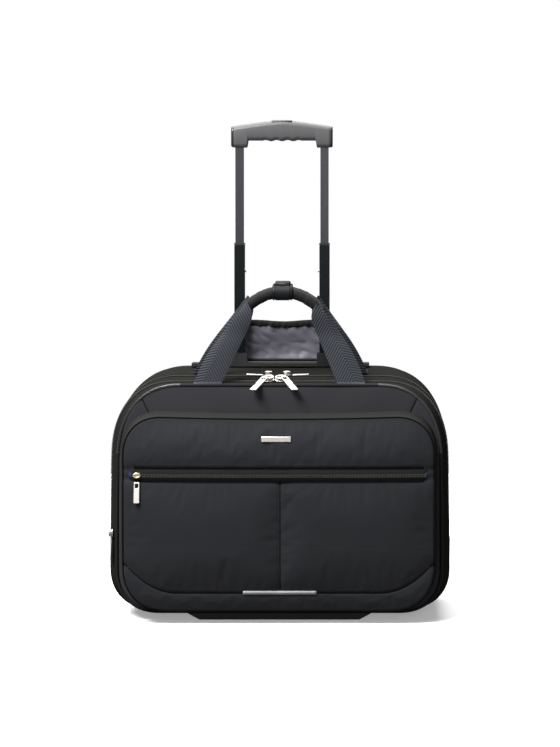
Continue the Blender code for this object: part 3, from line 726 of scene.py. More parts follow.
def half_rows(shape, upper, pitch):
    """(z, half width, side normal) rows that follow an outline from the hinge to its far edge."""
    half, top, bottom, (rx, rz) = shape
    rows = []
    if not upper:
        rx = rz = BOTTOM_RADIUS
    start = HINGE_Z + (SPLIT if upper else -SPLIT)
    bend = top - rz if upper else bottom + rz
    count = max(3, int(abs(bend - start) / pitch))
    near = 0.4 * MM if upper else -0.4 * MM
    rows.append((start, half, (1.0, 0.0)))
    for i in range(count):
        rows.append((start + near + (bend - start - near) * i / count, half, (1.0, 0.0)))
    turns = max(8, int(1.57 * (rx + rz) / 2 / pitch))
    for i in range(turns + 1):
        dx, dz, n = corner_point(PI / 2 * i / turns, rx, rz)
        rows.append((bend + (dz if upper else -dz), half - rx + dx, (n.x, n.y if upper else -n.y)))
    return rows


def face_grid(shape, upper, pitch, depth_of, skirt, edge=99):
    """A panel's face as a grid, with a skirt of (outward, drop, share of the way to the wall) rings.

    From the ring numbered edge on, the skirt takes the second material.
    """
    rows = half_rows(shape, upper, pitch)
    columns = int(2 * shape[0] / pitch)
    bm = bmesh.new()
    made = []
    for z, half, _ in rows:
        row = []
        for j in range(columns + 1):
            x = half * (2 * j / columns - 1)
            row.append(bm.verts.new((x, depth_of(x, z), z)))
        made.append(row)
    add_quads(bm, made, flip=not upper)
    rim = [(row[-1], rows[i][2]) for i, row in enumerate(made)]
    rim += [(v, (0.0, 1.0 if upper else -1.0)) for v in reversed(made[-1][1:-1])]
    rim += [(row[0], (-rows[i][2][0], rows[i][2][1])) for i, row in reversed(list(enumerate(made)))]
    rings = [[v for v, _ in rim]]
    for out, drop, share in skirt:
        ring = []
        for v, (nx, nz) in rim:
            reach = out(nx, nz) if callable(out) else out
            y = (v.co.y + drop) * (1 - share) + (FACE_Y - 1 * MM) * share
            ring.append(bm.verts.new((v.co.x + nx * reach, y, v.co.z + nz * reach)))
        rings.append(ring)
    add_quads(bm, rings[:edge + 1], flip=upper)
    add_quads(bm, rings[edge:], flip=upper, material=1)
    return bm


def smaller(shape, inset):
    """A shell shape moved inward all round."""
    half, top, bottom, (rx, rz) = shape
    return half - inset, top - inset, bottom + inset, (rx - inset, rz - inset)


class Depth:
    """A panel's depth as a function of place, with its flat base."""

    def __init__(self, base, function):
        self.base = base
        self.function = function

    def __call__(self, x, z):
        return self.base + self.function(x, z)


def flat_panel(name, shape, upper, base, puff, thickness, body, replaces, materials, sign=-1, pitch=5 * MM):
    """A padded wall panel: `sign` -1 swells to the front, +1 to the back."""
    half, top, bottom, _ = shape
    middle = (top + bottom) / 2
    tall = (top - bottom) / 2

    def function(x, z):
        u = min(abs(x) / half, 1)
        v = min(abs(z - middle) / tall, 1)
        swell = puff * (1 - u ** 6) * (1 - v ** 6)
        return sign * (swell + ripple(Vector((x, base, z)), 0.06, 0.6 * MM))

    bm = face_grid(shape, upper, pitch, Depth(base, function), [])
    if sign > 0:
        bmesh.ops.reverse_faces(bm, faces=bm.faces)
    obj = make_object(name, bm, materials, body, replaces)
    return solidify(obj, thickness, len(materials) - 1)


def wall_depth(x, z):
    """How far the padded front wall stands out from its edge."""
    middle = (PANEL_HIGH.z + BACK_LOW.z) / 2
    u = min(abs(x) / (HALF - FRONT_NARROWER), 1)
    v = min(abs(z - middle) / (PANEL_HIGH.z - middle), 1)
    seam = math.exp(-(segment_distance(abs(x), z) / (2 * MM)) ** 2)
    swell = 3.5 * MM * (1 - u ** 6) * (1 - v ** 6) + ripple(Vector((x, 0, z)), 0.05, 0.8 * MM)
    return swell - 0.9 * MM * seam


def segment_distance(x, z):
    """Distance in the front wall to the short seam at its upper corner."""
    near = YOKE_SEAM[0]
    along = YOKE_SEAM[1] - near
    share = min(max((Vector((x, z)) - near).dot(along) / along.length_squared, 0), 1)
    return (Vector((x, z)) - near - along * share).length


def build_panels():
    """Front wall behind the compartment, back wall and the inner dividers."""
    shape = smaller(shell_shape(FACE_Y), 1 * MM)
    for name, upper, body, node_name in (
        ("front_wall_upper", True, "front_lid", "lid_panel"),
        ("front_wall_lower", False, "case", "base_front_panel"),
    ):
        depth = Depth(FACE_Y - 0.5 * MM, lambda x, z: -wall_depth(x, z))
        bm = face_grid(shape, upper, 3.5 * MM, depth, [])
        obj = make_object(name, bm, ["yoke", "inside"], body, [node_name])
        solidify(obj, 3 * MM, 1)
    for side, mirror in (("left", -1), ("right", 1)):
        path = []
        for k in range(13):
            place = YOKE_SEAM[0].lerp(YOKE_SEAM[1], k / 12)
            y = FACE_Y - 0.5 * MM - wall_depth(mirror * place.x, place.y) - 0.3 * MM
            path.append(Vector((mirror * place.x, y, place.y)))
        make_object(f"yoke_seam_{side}", tube_mesh(path, 0.7 * MM, 6), "thread", "front_lid")
    shape = smaller(shell_shape(BACK_Y), 1 * MM)
    for name, upper in (("back_wall_upper", True), ("back_wall_lower", False)):
        obj = flat_panel(name, shape, upper, BACK_Y - 1 * MM, 3 * MM, 3.4 * MM, "case", ["back_panel"],
                         ["back", "inside"], sign=1)
        if not upper:
            bpy.context.view_layer.update()
            apply_modifiers(obj)
            cut_wheel_wells(obj)
    for name, node_name, body, uppers in (
        ("divider_front", "middle_divider", "middle_section", (True,)),
        ("divider_well", "well_divider", "case", (True, False)),
    ):
        low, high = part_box(node_name)
        y = high.y
        shape = smaller(shell_shape(y), 1.8 * MM)
        for upper in uppers:
            part = "upper" if upper else "lower"
            obj = flat_panel(f"{name}_{part}", shape, upper, low.y + 0.4 * MM, 0.8 * MM, 1.8 * MM, body,
                             [node_name], ["inside", "inside"], pitch=8 * MM)
            if not upper:
                bpy.context.view_layer.update()
                apply_modifiers(obj)
                cut_wheel_wells(obj)


def seam_height(x):
    """Height of the curved lower seam of the front compartment."""
    run = max(abs(x) - SEAM_FLAT, 0) / (POCKET_HALF - SEAM_FLAT)
    return SEAM_LEVEL + SEAM_RISE * run ** 2


def lean_back(z):
    """The compartment's upper panel leans back above its zip, the lower one tucks in at its foot."""
    above = max(z - ZIP_BAND[1], 0) / (POCKET_HIGH.z - ZIP_BAND[1])
    below = max(SEAM_LEVEL + 30 * MM - z, 0) / (60 * MM)
    return POCKET_LEAN_TOP * above ** 1.3 + POCKET_LEAN_FOOT * below ** 1.5


def pocket_shape(x, z):
    """How far the compartment's face stands out before its cloth fills, with its seams pulled in."""
    low = POCKET_BASE_LOW.z
    high = POCKET_HIGH.z
    middle = (low + high) / 2
    u = min(abs(x) / POCKET_HALF, 1)
    v = min(abs(z - middle) / ((high - low) / 2), 1)
    swell = POCKET_PUFF * (1 - u ** 4) * (1 - v ** 4) - lean_back(z)
    swell -= seam_pull(abs(z - seam_height(x)), 1.8 * MM, 1.7 * MM)
    if ZIP_BAND[0] > z > SEAM_LEVEL:
        below = smooth_step((z - SEAM_LEVEL) / (6 * MM))
        swell -= seam_pull(abs(x - CENTRE_SEAM_X), 1.6 * MM, 1.5 * MM) * below
    band = smooth_step((z - ZIP_BAND[0]) / (2 * MM)) * smooth_step((ZIP_BAND[1] - z) / (2 * MM))
    swell -= 2.0 * MM * band + seam_pull(min(abs(z - ZIP_BAND[0]), abs(z - ZIP_BAND[1])), 0.8 * MM, 1.5 * MM)
    point = Vector((x, 0, z))
    return ripple(point, 0.055, 0.8 * MM) + swell


def pocket_held(x, z):
    """True where the compartment's cloth is sewn down."""
    half, top, bottom, (rx, rz) = pocket_outline()
    inside = abs(x) < half - 3 * MM and bottom + 3 * MM < z < top - 3 * MM
    dx = max(abs(x) - (half - rx), 0) / rx
    dz = max(z - (top - rz), (bottom + rz) - z, 0) / rz
    if not inside or dx ** SQUARENESS + dz ** SQUARENESS > 0.86:
        return True
    if ZIP_BAND[0] - 2 * MM < z < ZIP_BAND[1] + 2 * MM or abs(z - seam_height(x)) < 2 * MM:
        return True
    return abs(x - CENTRE_SEAM_X) < 2 * MM and SEAM_LEVEL < z < ZIP_BAND[0]


def pocket_function(x, z):
    """Depth of the compartment's face, cloth included, relative to its front."""
    return -pocket_shape(x, z) + POCKET_CLOTH.at(x, z)


def seam_pull(distance, crease, width):
    """A soft valley with a narrow crease at a seam."""
    valley = 1.6 * MM * math.exp(-(distance / (9 * MM)) ** 2)
    return valley + crease * math.exp(-(distance / width) ** 2)


def pocket_point(x, z, proud=0.0):
    """A point on the compartment's face."""
    return Vector((x, POCKET_LOW.y + pocket_function(x, z) - proud, z - sag(x, z)))


def facing(_point, _along):
    """Normal of anything sewn on the front."""
    return Vector((0, -1, 0))


def sag(x, z):
    """How far the compartment's top edge hangs between its corners."""
    if z < ZIP_BAND[1]:
        return 0.0
    share = (z - ZIP_BAND[1]) / (POCKET_HIGH.z - ZIP_BAND[1])
    return POCKET_SAG * (1 - (x / POCKET_HALF) ** 2) * share ** 1.5


def pocket_outline():
    """The compartment's front edge as a shape for rows and rims."""
    corner = 47 * MM
    top = POCKET_HIGH.z - POCKET_EDGE
    bottom = POCKET_BASE_LOW.z + POCKET_EDGE
    return (POCKET_HALF - POCKET_EDGE, top, bottom, (corner, corner))


def pocket_skirt():
    """Rings of the compartment's side, from its rounded edge back to the wall."""
    rings = []
    for k in range(1, 5):
        a = PI / 2 * k / 4
        rings.append((POCKET_EDGE * math.sin(a), POCKET_EDGE * (1 - math.cos(a)), 0.0))
    for k in range(1, 6):
        t = k / 5

        def reach(_nx, nz, t=t):
            flare = 3.5 * MM + 2.5 * MM * max(nz, 0)
            return POCKET_EDGE + flare * t - 1.4 * MM * math.sin(PI * t)

        rings.append((reach, POCKET_EDGE, t))
    return rings


def fill_pocket():
    """Let the compartment's cloth fill between its seams."""
    low = (-POCKET_HALF, POCKET_BASE_LOW.z)
    high = (POCKET_HALF, POCKET_HIGH.z)
    return ClothField(low, high, 3 * MM, lambda x, z: -pocket_shape(x, z), pocket_held, 2.5, 0.005, 4 * MM)


def build_pocket():
    """The raised front compartment with its seams, strip and badge."""
    shape = pocket_outline()
    depth = Depth(POCKET_LOW.y, pocket_function)
    for name, upper, body, node_name in (
        ("compartment_skin_upper", True, "front_lid", "compartment_upper"),
        ("compartment_skin_lower", False, "case", "compartment_base"),
    ):
        bm = face_grid(shape, upper, 2.4 * MM, depth, pocket_skirt(), 2)
        for vert in bm.verts:
            vert.co.z -= sag(vert.co.x, vert.co.z)
        obj = make_object(name, bm, ["panel", "band", "inside"], body, [node_name], smooth=50)
        solidify(obj, 1.8 * MM)
        edge_cord(name, shape, upper, body)
    seam_lines()
    strip = []
    low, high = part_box("reflective_strip")
    for z in (low.z + 1.2 * MM, high.z - 1.2 * MM):
        strip.append([pocket_point(low.x + (high.x - low.x) * i / 30, z, 1.6 * MM) for i in range(31)])
    bm = grid_mesh(strip)
    obj = make_object("reflective_strip_sewn", bm, "strip", "case", ["reflective_strip"])
    solidify(obj, 0.8 * MM)
    low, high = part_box("badge_plate")
    bm = bmesh.new()
    centre = (low + high) / 2
    centre.y = pocket_point(centre.x, centre.z).y - 0.5 * MM
    add_block(bm, Matrix.Translation(centre), (high.x - low.x, 2.4 * MM, high.z - low.z))
    bevel(make_object("badge_blank", bm, "metal", "front_lid", ["badge_plate"]), 0.9 * MM, 3)


def edge_cord(name, shape, upper, body):
    """The narrow black cord sewn round the compartment's front edge."""
    path = []
    rows = half_rows(shape, upper, 3 * MM)
    out = POCKET_EDGE * math.sin(PI / 4) + 0.2 * MM
    drop = POCKET_EDGE * (1 - math.cos(PI / 4)) - 0.2 * MM
    for z, half, (nx, nz) in rows:
        path.append((half, z, nx * out, nz * out))
    reach, z, _, _ = path[-1]
    rise = out if upper else -out
    path += [(reach * (1 - i / 60), z, 0.0, rise) for i in range(1, 61)]
    whole = path + [(-x, z, -dx, dz) for x, z, dx, dz in reversed(path[:-1])]
    points = []
    for x, z, dx, dz in whole:
        y = POCKET_LOW.y + pocket_function(x, z) + drop
        points.append(Vector((x + dx, y, z + dz - sag(x + dx, z + dz))))
    make_object(f"{name}_cord", tube_mesh(points, 1.0 * MM, 8), "thread", body)


def seam_lines():
    """Dark cords of thread in the seams of the compartment."""
    count = 150
    reach = POCKET_HALF - 2 * MM
    xs = [reach * (2 * i / count - 1) for i in range(count + 1)]
    curve = [pocket_point(x, seam_height(x), 0.5 * MM) for x in xs]
    make_object("lower_seam", tube_mesh(curve, 0.9 * MM, 6), "thread", "case")
    rise = ZIP_BAND[0] - HINGE_Z
    upper = [pocket_point(CENTRE_SEAM_X, HINGE_Z + SPLIT + rise * i / 40, 0.5 * MM) for i in range(41)]
    make_object("centre_seam_upper", tube_mesh(upper, 0.7 * MM, 6), "thread", "front_lid")
    low = SEAM_LEVEL + 3 * MM
    lower = [pocket_point(CENTRE_SEAM_X, low + (HINGE_Z - SPLIT - low) * i / 30, 0.5 * MM) for i in range(31)]
    make_object("centre_seam_lower", tube_mesh(lower, 0.7 * MM, 6), "thread", "case")
    for z in ZIP_BAND:
        path = [pocket_point(x, z, 0.6 * MM) for x in xs[5:-5]]
        name = "pocket_zip_fold_low" if z == ZIP_BAND[0] else "pocket_zip_fold_high"
        make_object(name, tube_mesh(path, 0.9 * MM, 6), "thread", "front_lid")
    for z in (ZIP_BAND[0] - 2.2 * MM, ZIP_BAND[1] + 2.2 * MM):
        path = [pocket_point(x, z, 0.1 * MM) for x in xs[6:-6]]
        name = f"pocket_zip_stitches_{int(z / MM)}"
        stitches(name, path, facing, "front_lid", 3.2 * MM, 2.2 * MM, 0.6 * MM)


def build_pocket_zip():
    """Tape, coil and tabs of the front zip."""
    z = ZIP_BAND[0] + 6.4 * MM
    count = 120
    xs = [TAPE_LOW.x + (TAPE_HIGH.x - TAPE_LOW.x) * i / count for i in range(count + 1)]
    rows = []
    for level in (ZIP_BAND[0] + 0.5 * MM, z - 1 * MM, z, z + 1 * MM, ZIP_BAND[1] - 0.5 * MM):
        rows.append([pocket_point(x, level, 0.5 * MM) for x in xs])
    obj = make_object("pocket_tape", grid_mesh(rows), "tape", "front_lid", ["pocket_zip_tape"])
    solidify(obj, 0.6 * MM)
    path = [pocket_point(x, z, 1.0 * MM) for x in xs]
    for k, shift in enumerate((-1.1 * MM, 1.1 * MM)):
        bm = blocks_along(resample(path, 1.9 * MM), facing, (1.1 * MM, 1.9 * MM, 1.3 * MM), shift)
        bevel(make_object(f"pocket_coil_{k}", bm, "coil", "front_lid"), 0.3 * MM, 1)
    for name, x in (("left", TAPE_LOW.x - 1.5 * MM), ("right", TAPE_HIGH.x + 0.5 * MM)):
        rows = []
        for level in (z - 3.5 * MM, z + 3.5 * MM):
            rows.append([pocket_point(x + d * MM, level, 1.0 * MM) for d in (-1.4, 0, 1.4)])
        obj = make_object(f"blue_tab_{name}", grid_mesh(rows), "blue", "front_lid")
        solidify(obj, 0.8 * MM)


# ---------------------------------------------------------------- sliders and pulls

def add_oval(bm, turn, length, width, z0, z1):
    """A flat oval plate in a placement's XY plane, between two heights."""
    loops = []
    for z in (z0, z1):
        loop = []
        for k in range(20):
            dx, dy, _ = corner_point(PI / 2 * (k % 5) / 5, length / 2, width / 2)
            quarter = k // 5
            x, y = ((dx, dy), (-dy * length / width, dx * width / length))[quarter % 2]
            flip = -1 if quarter > 1 else 1
            loop.append(bm.verts.new(turn @ Vector((flip * x, flip * y, z))))
        loops.append(loop)
    add_quads(bm, loops, closed=True)
    bm.faces.new(list(reversed(loops[0])))
    bm.faces.new(loops[1])


def slider_mesh(turn, size):
    """A zip slider: two oval plates, a neck and an oval loop; X along the zip, Z outward."""
    bm = bmesh.new()
    long, wide = size
    add_oval(bm, turn, long, wide, -2.0 * MM, -0.8 * MM)
    add_oval(bm, turn, long * 0.9, wide * 0.88, 0.6 * MM, 1.7 * MM)
    add_oval(bm, turn @ Matrix.Translation((long * 0.2, 0, 0)), 3.4 * MM, 3.0 * MM, -1 * MM, 0.8 * MM)
    loop = []
    for k in range(24):
        a = 2 * PI * k / 24
        loop.append(turn @ Vector((0.42 * long * math.cos(a), 0.36 * wide * math.sin(a), 2.7 * MM)))
    tube_mesh(loop, 1.1 * MM, 8, closed=True, bm=bm)
    bmesh.ops.recalc_face_normals(bm, faces=bm.faces)
    return bm


def pull_mesh(turn, length, width):
    """A flat blank tab with a rectangular eye near its hinge, along local X, normal local Z."""
    half = width / 2
    rim = 1.5 * MM
    eye = (2 * MM, 7.5 * MM)
    side = 0.75 * MM
    bm = bmesh.new()
    xs = (0.0, eye[0], eye[1], length)
    ys = (-half, rim - half, half - rim, half)
    layers = [[[bm.verts.new(turn @ Vector((x, y, z))) for y in ys] for x in xs] for z in (-side, side)]
    for k in range(2):
        for i in range(3):
            for j in range(3):
                if (i, j) == (1, 1):
                    continue
                grid = layers[k]
                bm.faces.new((grid[i][j], grid[i + 1][j], grid[i + 1][j + 1], grid[i][j + 1]))
    low, high = layers
    border = [(i, 0) for i in range(4)] + [(3, 1), (3, 2), (3, 3)]
    border += [(2, 3), (1, 3), (0, 3), (0, 2), (0, 1)]
    for loop in (border, [(1, 1), (1, 2), (2, 2), (2, 1)]):
        for a, b in zip(loop, loop[1:] + loop[:1]):
            bm.faces.new((low[a[0]][a[1]], low[b[0]][b[1]], high[b[0]][b[1]], high[a[0]][a[1]]))
    bmesh.ops.recalc_face_normals(bm, faces=bm.faces)
    return bm


def axes_matrix(x_axis, z_axis, at):
    """A placement from a direction and a normal."""
    x = Vector(x_axis).normalized()
    z = Vector(z_axis).normalized()
    y = z.cross(x).normalized()
    turn = Matrix((x, y, z)).transposed().to_4x4()
    turn.translation = at
    return turn


def build_sliders():
    """Sliders and pulls in place of the plain CAD ones."""
    joints = {j["name"]: j for j in frame["joints"]}
    specs = []
    for side, sign in (("left", -1), ("right", 1)):
        specs.append((f"main_slider_{side}", f"main_pull_{side}", f"main_slide_{side}", f"main_tab_{side}",
                      f"main_tab_lift_{side}", (sign, 0, 0), (0, 0, 1), (sign * 0.42, -0.84, -0.40), 36 * MM))
        specs.append((f"rear_slider_{side}", f"rear_pull_{side}", f"rear_slide_{side}", f"rear_tab_{side}",
                      f"rear_tab_lift_{side}", (sign, 0, 0), (0, 0, 1), (sign, 0, 0.05), 22 * MM))
    specs.append(("pocket_slider", "pocket_pull", "pocket_slide", "pocket_tab", "pocket_tab_swing",
                  (1, 0, 0), (0, -1, 0), (0, -0.03, -1), 26.5 * MM))
    specs.append(("side_slider", "side_pull", "side_slide", "side_tab", "side_tab_swing",
                  (0, 0, 1), (-1, 0, 0), (-0.03, 0, -1), 29 * MM))
    for slider, pull, slider_body, pull_body, joint, run, out, hang, length in specs:
        low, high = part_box(slider)
        at = (low + high) / 2
        if slider == "pocket_slider":
            at.y = pocket_point(at.x, at.z).y - 1.8 * MM
        place = axes_matrix(run, out, at)
        if slider.startswith("main"):
            place = Matrix.Translation((0, 0, 1.2 * MM)) @ axes_matrix(run, (0, -0.55, 1), at)
        bm = slider_mesh(place, (15.5 * MM, 9.5 * MM) if slider.startswith("main") else (10 * MM, 6.8 * MM))
        material = "gold" if slider == "pocket_slider" else "metal"
        obj = make_object(f"{slider}_cast", bm, material, slider_body, [slider])
        bevel(obj, 0.35 * MM, 2)
        pivot = Vector(joints[joint]["pos_m"])
        if pull == "pocket_pull":
            pivot.y = at.y - 2.2 * MM
            swing = [PI / 9 * k for k in range(-3, 4)]
            tips = [pocket_point(pivot.x + length * math.sin(a), pivot.z - length * math.cos(a))
                    for a in swing]
            hang = (0, min(tip.y for tip in tips) - 2.0 * MM - pivot.y, -length)
        if pull.startswith("main"):
            pivot += Vector((0, 2, 3.0)) * MM
        if pull.startswith("rear"):
            pivot.z -= 1.5 * MM
        normal = Vector(out) - Vector(hang) * Vector(out).dot(Vector(hang)) / Vector(hang).length_squared
        turn = axes_matrix(hang, normal, pivot)
        bm = pull_mesh(turn, length, 9.4 * MM if pull.startswith("main") else 7.2 * MM)
        obj = make_object(f"{pull}_tab", bm, "metal", pull_body, [pull])
        bevel(obj, 0.35 * MM, 2)


# ---------------------------------------------------------------- carry handles

def strap_outer(z, spread):
    """Outer edge of a leg at a height above its foot, from the case's centre line."""
    t = min(z / STRAP_RISE, 1)
    bow = 9.5 * MM * math.sin(PI * t) * (1 - t) ** 0.6
    return HANDLE_FOOT_X + spread * (1 - t) ** 2 - 63 * MM * t + bow


def strap_inner(z, spread):
    """Inner edge: nearly straight, then folded back to meet the roll."""
    fold = max(z - 74 * MM, 0) / (30 * MM)
    start = HANDLE_FOOT_X - STRAP_WIDTH + spread * (1 - z / STRAP_RISE) ** 2
    return start - 0.45 * z + 19 * MM * fold ** 2


def strap_mesh(mirror, place_of, spread, wrap):
    """One webbing leg: a closed strip that narrows and lies over the roll's end."""
    bm = bmesh.new()
    rings = []
    rows, columns = 34, 8
    for i in range(rows + 1):
        t = i / rows
        z = STRAP_RISE * t
        outer = strap_outer(z, spread)
        inner = min(strap_inner(z, spread), outer - 2 * MM)
        over = wrap * smooth_step((t - 0.55) / 0.35)
        ring = []
        for side in (1, -1):
            for k in range(columns + 1):
                u = side * (2 * k / columns - 1)
                across = (outer + inner) / 2 + u * (outer - inner) / 2
                crown = (1 - 0.5 * abs(u) ** 6) * STRAP_THICK / 2
                cup = 1.2 * MM * math.sin(PI * t) * (1 - u * u) - 2 * MM * u * smooth_step((t - 0.3) / 0.5)
                x = mirror * across + HANDLE_SHIFT * t
                ring.append(bm.verts.new(place_of(x, z, side * crown + cup + over)))
        rings.append(ring)
    add_quads(bm, rings, closed=True)
    bm.faces.new(list(reversed(rings[0])))
    bm.faces.new(rings[-1])
    bmesh.ops.recalc_face_normals(bm, faces=bm.faces)
    return bm


def build_handle(name, body, lean, sign, spread=0.0, drop=0.0):
    """One carry handle: two webbing legs, a ribbed roll and its clasp half."""
    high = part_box(f"{name}_pad")[1]
    pivot = Vector(next(j for j in frame["joints"] if j["child"] == body)["pos_m"])
    turn = Matrix.Translation(pivot) @ Matrix.Rotation(-lean, 4, "X")
    up = (high.z - pivot.z) / math.cos(lean) - 11 * MM - drop

    def place_of(x, z, out):
        return turn @ Vector((x, -out, z))

    arch = []
    for i in range(49):
        u = 2 * i / 48 - 1
        arch.append(place_of(50 * MM * u + HANDLE_SHIFT, up - 23 * MM * abs(u) ** 2.1, 0))

    def girth(t):
        seam = math.exp(-((t - 0.3) / 0.006) ** 2) + math.exp(-((t - 0.7) / 0.006) ** 2)
        rough = noise.noise(Vector((t * 26, 3.1, sign))) * 0.6 * MM
        return 7.0 * MM * (0.75 + 0.25 * smooth_step(min(t, 1 - t) * 12)) - 0.8 * MM * seam + rough

    roll = make_object(f"{name}_roll", tube_mesh(arch, girth, 20), "pad", body, [f"{name}_pad"])
    for side, mirror in (("left", -1), ("right", 1)):
        bm = strap_mesh(mirror, place_of, spread, -sign * 6.6 * MM)
        middle = place_of(mirror * (HANDLE_FOOT_X - STRAP_WIDTH), STRAP_RISE / 2, 0)
        lean_in = Matrix.Rotation(-mirror * math.radians(26), 4, "Y")
        place = Matrix.Translation(middle) @ Matrix.Rotation(-lean, 4, "X") @ lean_in
        make_object(f"{name}_strap_{side}", bm, "webbing", body, [f"{name}_webbing_{side}"],
                    place=place)
    build_clasp(name, body, turn @ Matrix.Translation((HANDLE_SHIFT, 0, up)), sign)


def build_anchors():
    """Webbing sewn down in front of each handle's hinge."""
    for name, body, y0, y1, spread in (
        ("front_anchor", "front_lid", FACE_Y - 1.5 * MM, -54 * MM, 0.0),
        ("rear_anchor", "case", REAR_ZIP_Y + 8 * MM, REAR_ZIP_Y + 34 * MM, REAR_SPREAD),
    ):
        for side, mirror in (("left", -1), ("right", 1)):
            rows = []
            for i in range(13):
                y = y0 + (y1 - y0) * i / 12
                past_piping = smooth_step((y - FACE_Y + 4 * MM) / (5 * MM))
                top = shell_shape(y)[1] + 2.6 * MM - 2.6 * MM * (1 - past_piping)
                outer = HANDLE_FOOT_X + spread
                xs = [outer - STRAP_WIDTH * k / 12 for k in range(13)]
                rows.append([Vector((mirror * x, y, top)) for x in xs])
            bm = grid_mesh(rows, flip=(mirror < 0))
            obj = make_object(f"{name}_{side}", bm, "webbing", body)
            solidify(obj, 1.6 * MM).modifiers["thickness"].offset = 1


def build_clasp(name, body, turn, sign):
    """Half of the snap clasp: a ribbed sleeve round the roll with a raised tab on top."""
    profile = ((-13, 0.2), (-12.5, 1.0), (-10.6, 1.3), (-10.2, 0.5), (-9.2, 0.5), (-8.8, 1.4), (8.8, 1.4),
               (9.2, 0.5), (10.2, 0.5), (10.6, 1.3), (12.5, 1.0), (13, 0.2))
    steps = 16
    bm = bmesh.new()
    rings = []
    for x, extra in profile:
        ring = []
        for radius, turns in ((8.9 + extra, range(steps + 1)), (7.6, range(steps, -1, -1))):
            for k in turns:
                a = PI * (0.5 + k / steps)
                place = Vector((x, -sign * radius * math.cos(a), radius * math.sin(a))) * MM
                ring.append(bm.verts.new(turn @ place))
        rings.append(ring)
    add_quads(bm, rings, closed=True)
    bm.faces.new(rings[0])
    bm.faces.new(rings[-1])
    bmesh.ops.recalc_face_normals(bm, faces=bm.faces)
    make_object(f"{name}_clasp_shell", bm, "clasp", body, [f"{name}_clasp"])
    bm = bmesh.new()
    add_block(bm, turn @ Matrix.Translation(Vector((0, sign * 3.6, 9.6)) * MM), Vector((20.5, 6.4, 7.0)) * MM)
    bevel(make_object(f"{name}_clasp_tab", bm, "clasp", body), 2.4 * MM, 4)
    bm = bmesh.new()
    add_block(bm, turn @ Matrix.Translation(Vector((0, sign * 6.9, 10.4)) * MM), Vector((9, 0.8, 1.6)) * MM)
    bevel(make_object(f"{name}_clasp_slot", bm, "grip_dark", body), 0.3 * MM, 2)


# ---------------------------------------------------------------- trolley, flap, wheels

def paint(node_name, material, width=0.0, segments=3):
    """A better material, and softer edges if asked, on a CAD node that stays."""
    obj = NODES[node_name]
    obj.data.materials.clear()
    obj.data.materials.append(MATS[material])
    if width:
        bevel(obj, width, segments)


def grip_top(x):
    """Height of the grip's arched top."""
    return GRIP_HIGH.z + 0.4 * MM - 8.6 * MM * (abs(x) / GRIP_HIGH.x) ** 1.3


def grip_under(x):
    """Height of the grip's underside: legs, a step, and finger waves between them."""
    leg = smooth_step((abs(x) - 45.5 * MM) / (1.6 * MM))
    wave = math.cos(2 * PI * x / (15 * MM)) * smooth_step((30 * MM - abs(x)) / (8 * MM))
    bar = GRIP_LOW.z + 9.5 * MM - 0.8 * MM * wave
    return bar + (GRIP_LOW.z - bar) * leg


def grip_section(x, shrink):
    """The grip's section at x as (y, z): flat faces, sloped shoulders, rounded edges."""
    half = (GRIP_HIGH.y - GRIP_LOW.y) / 2 * shrink
    low = grip_under(x) + 8 * MM * (1 - shrink)
    top = grip_top(x) - 6 * MM * (1 - shrink)
    side = [(0.0, low), (0.55 * half, low), (0.82 * half, low + 0.8 * MM), (0.95 * half, low + 2.6 * MM),
            (half, low + 5 * MM), (half, top - 7 * MM), (0.96 * half, top - 5.4 * MM),
            (0.62 * half, top - 1.6 * MM), (0.4 * half, top - 0.4 * MM), (0.0, top)]
    middle = (GRIP_LOW.y + GRIP_HIGH.y) / 2
    front = [(middle - y, z) for y, z in side]
    back = [(middle + y, z) for y, z in reversed(side[1:-1])]
    return front + back


def build_grip():
    """The moulded pull handle with its arched top and darker end caps."""
    bm = bmesh.new()
    reach = GRIP_HIGH.x - 1.5 * MM
    xs = [reach * (i / 70 - 1) for i in range(141)]
    rings = []
    for x in xs:
        shrink = 0.9 + 0.1 * smooth_step((reach - abs(x)) / (3 * MM))
        rings.append([bm.verts.new((x, y, z)) for y, z in grip_section(x, shrink)])
    add_quads(bm, rings, closed=True)
    bm.faces.new(rings[0])
    bm.faces.new(rings[-1])
    bmesh.ops.recalc_face_normals(bm, faces=bm.faces)
    make_object("grip_moulding", bm, "grip", "inner_stage", ["grip_shell"])
    for side, mirror in (("left", -1), ("right", 1)):
        bm = bmesh.new()
        rings = []
        for step, shrink in ((-1.2, 0.96), (0.0, 0.97), (1.4, 0.9), (2.2, 0.74)):
            x = mirror * (reach + step * MM)
            ring = grip_section(mirror * reach, shrink)
            rings.append([bm.verts.new((x, y, z)) for y, z in ring])
        add_quads(bm, rings, closed=True)
        bm.faces.new(rings[0])
        bm.faces.new(rings[-1])
        bmesh.ops.recalc_face_normals(bm, faces=bm.faces)
        make_object(f"grip_cap_{side}", bm, "grip_cap", "inner_stage")


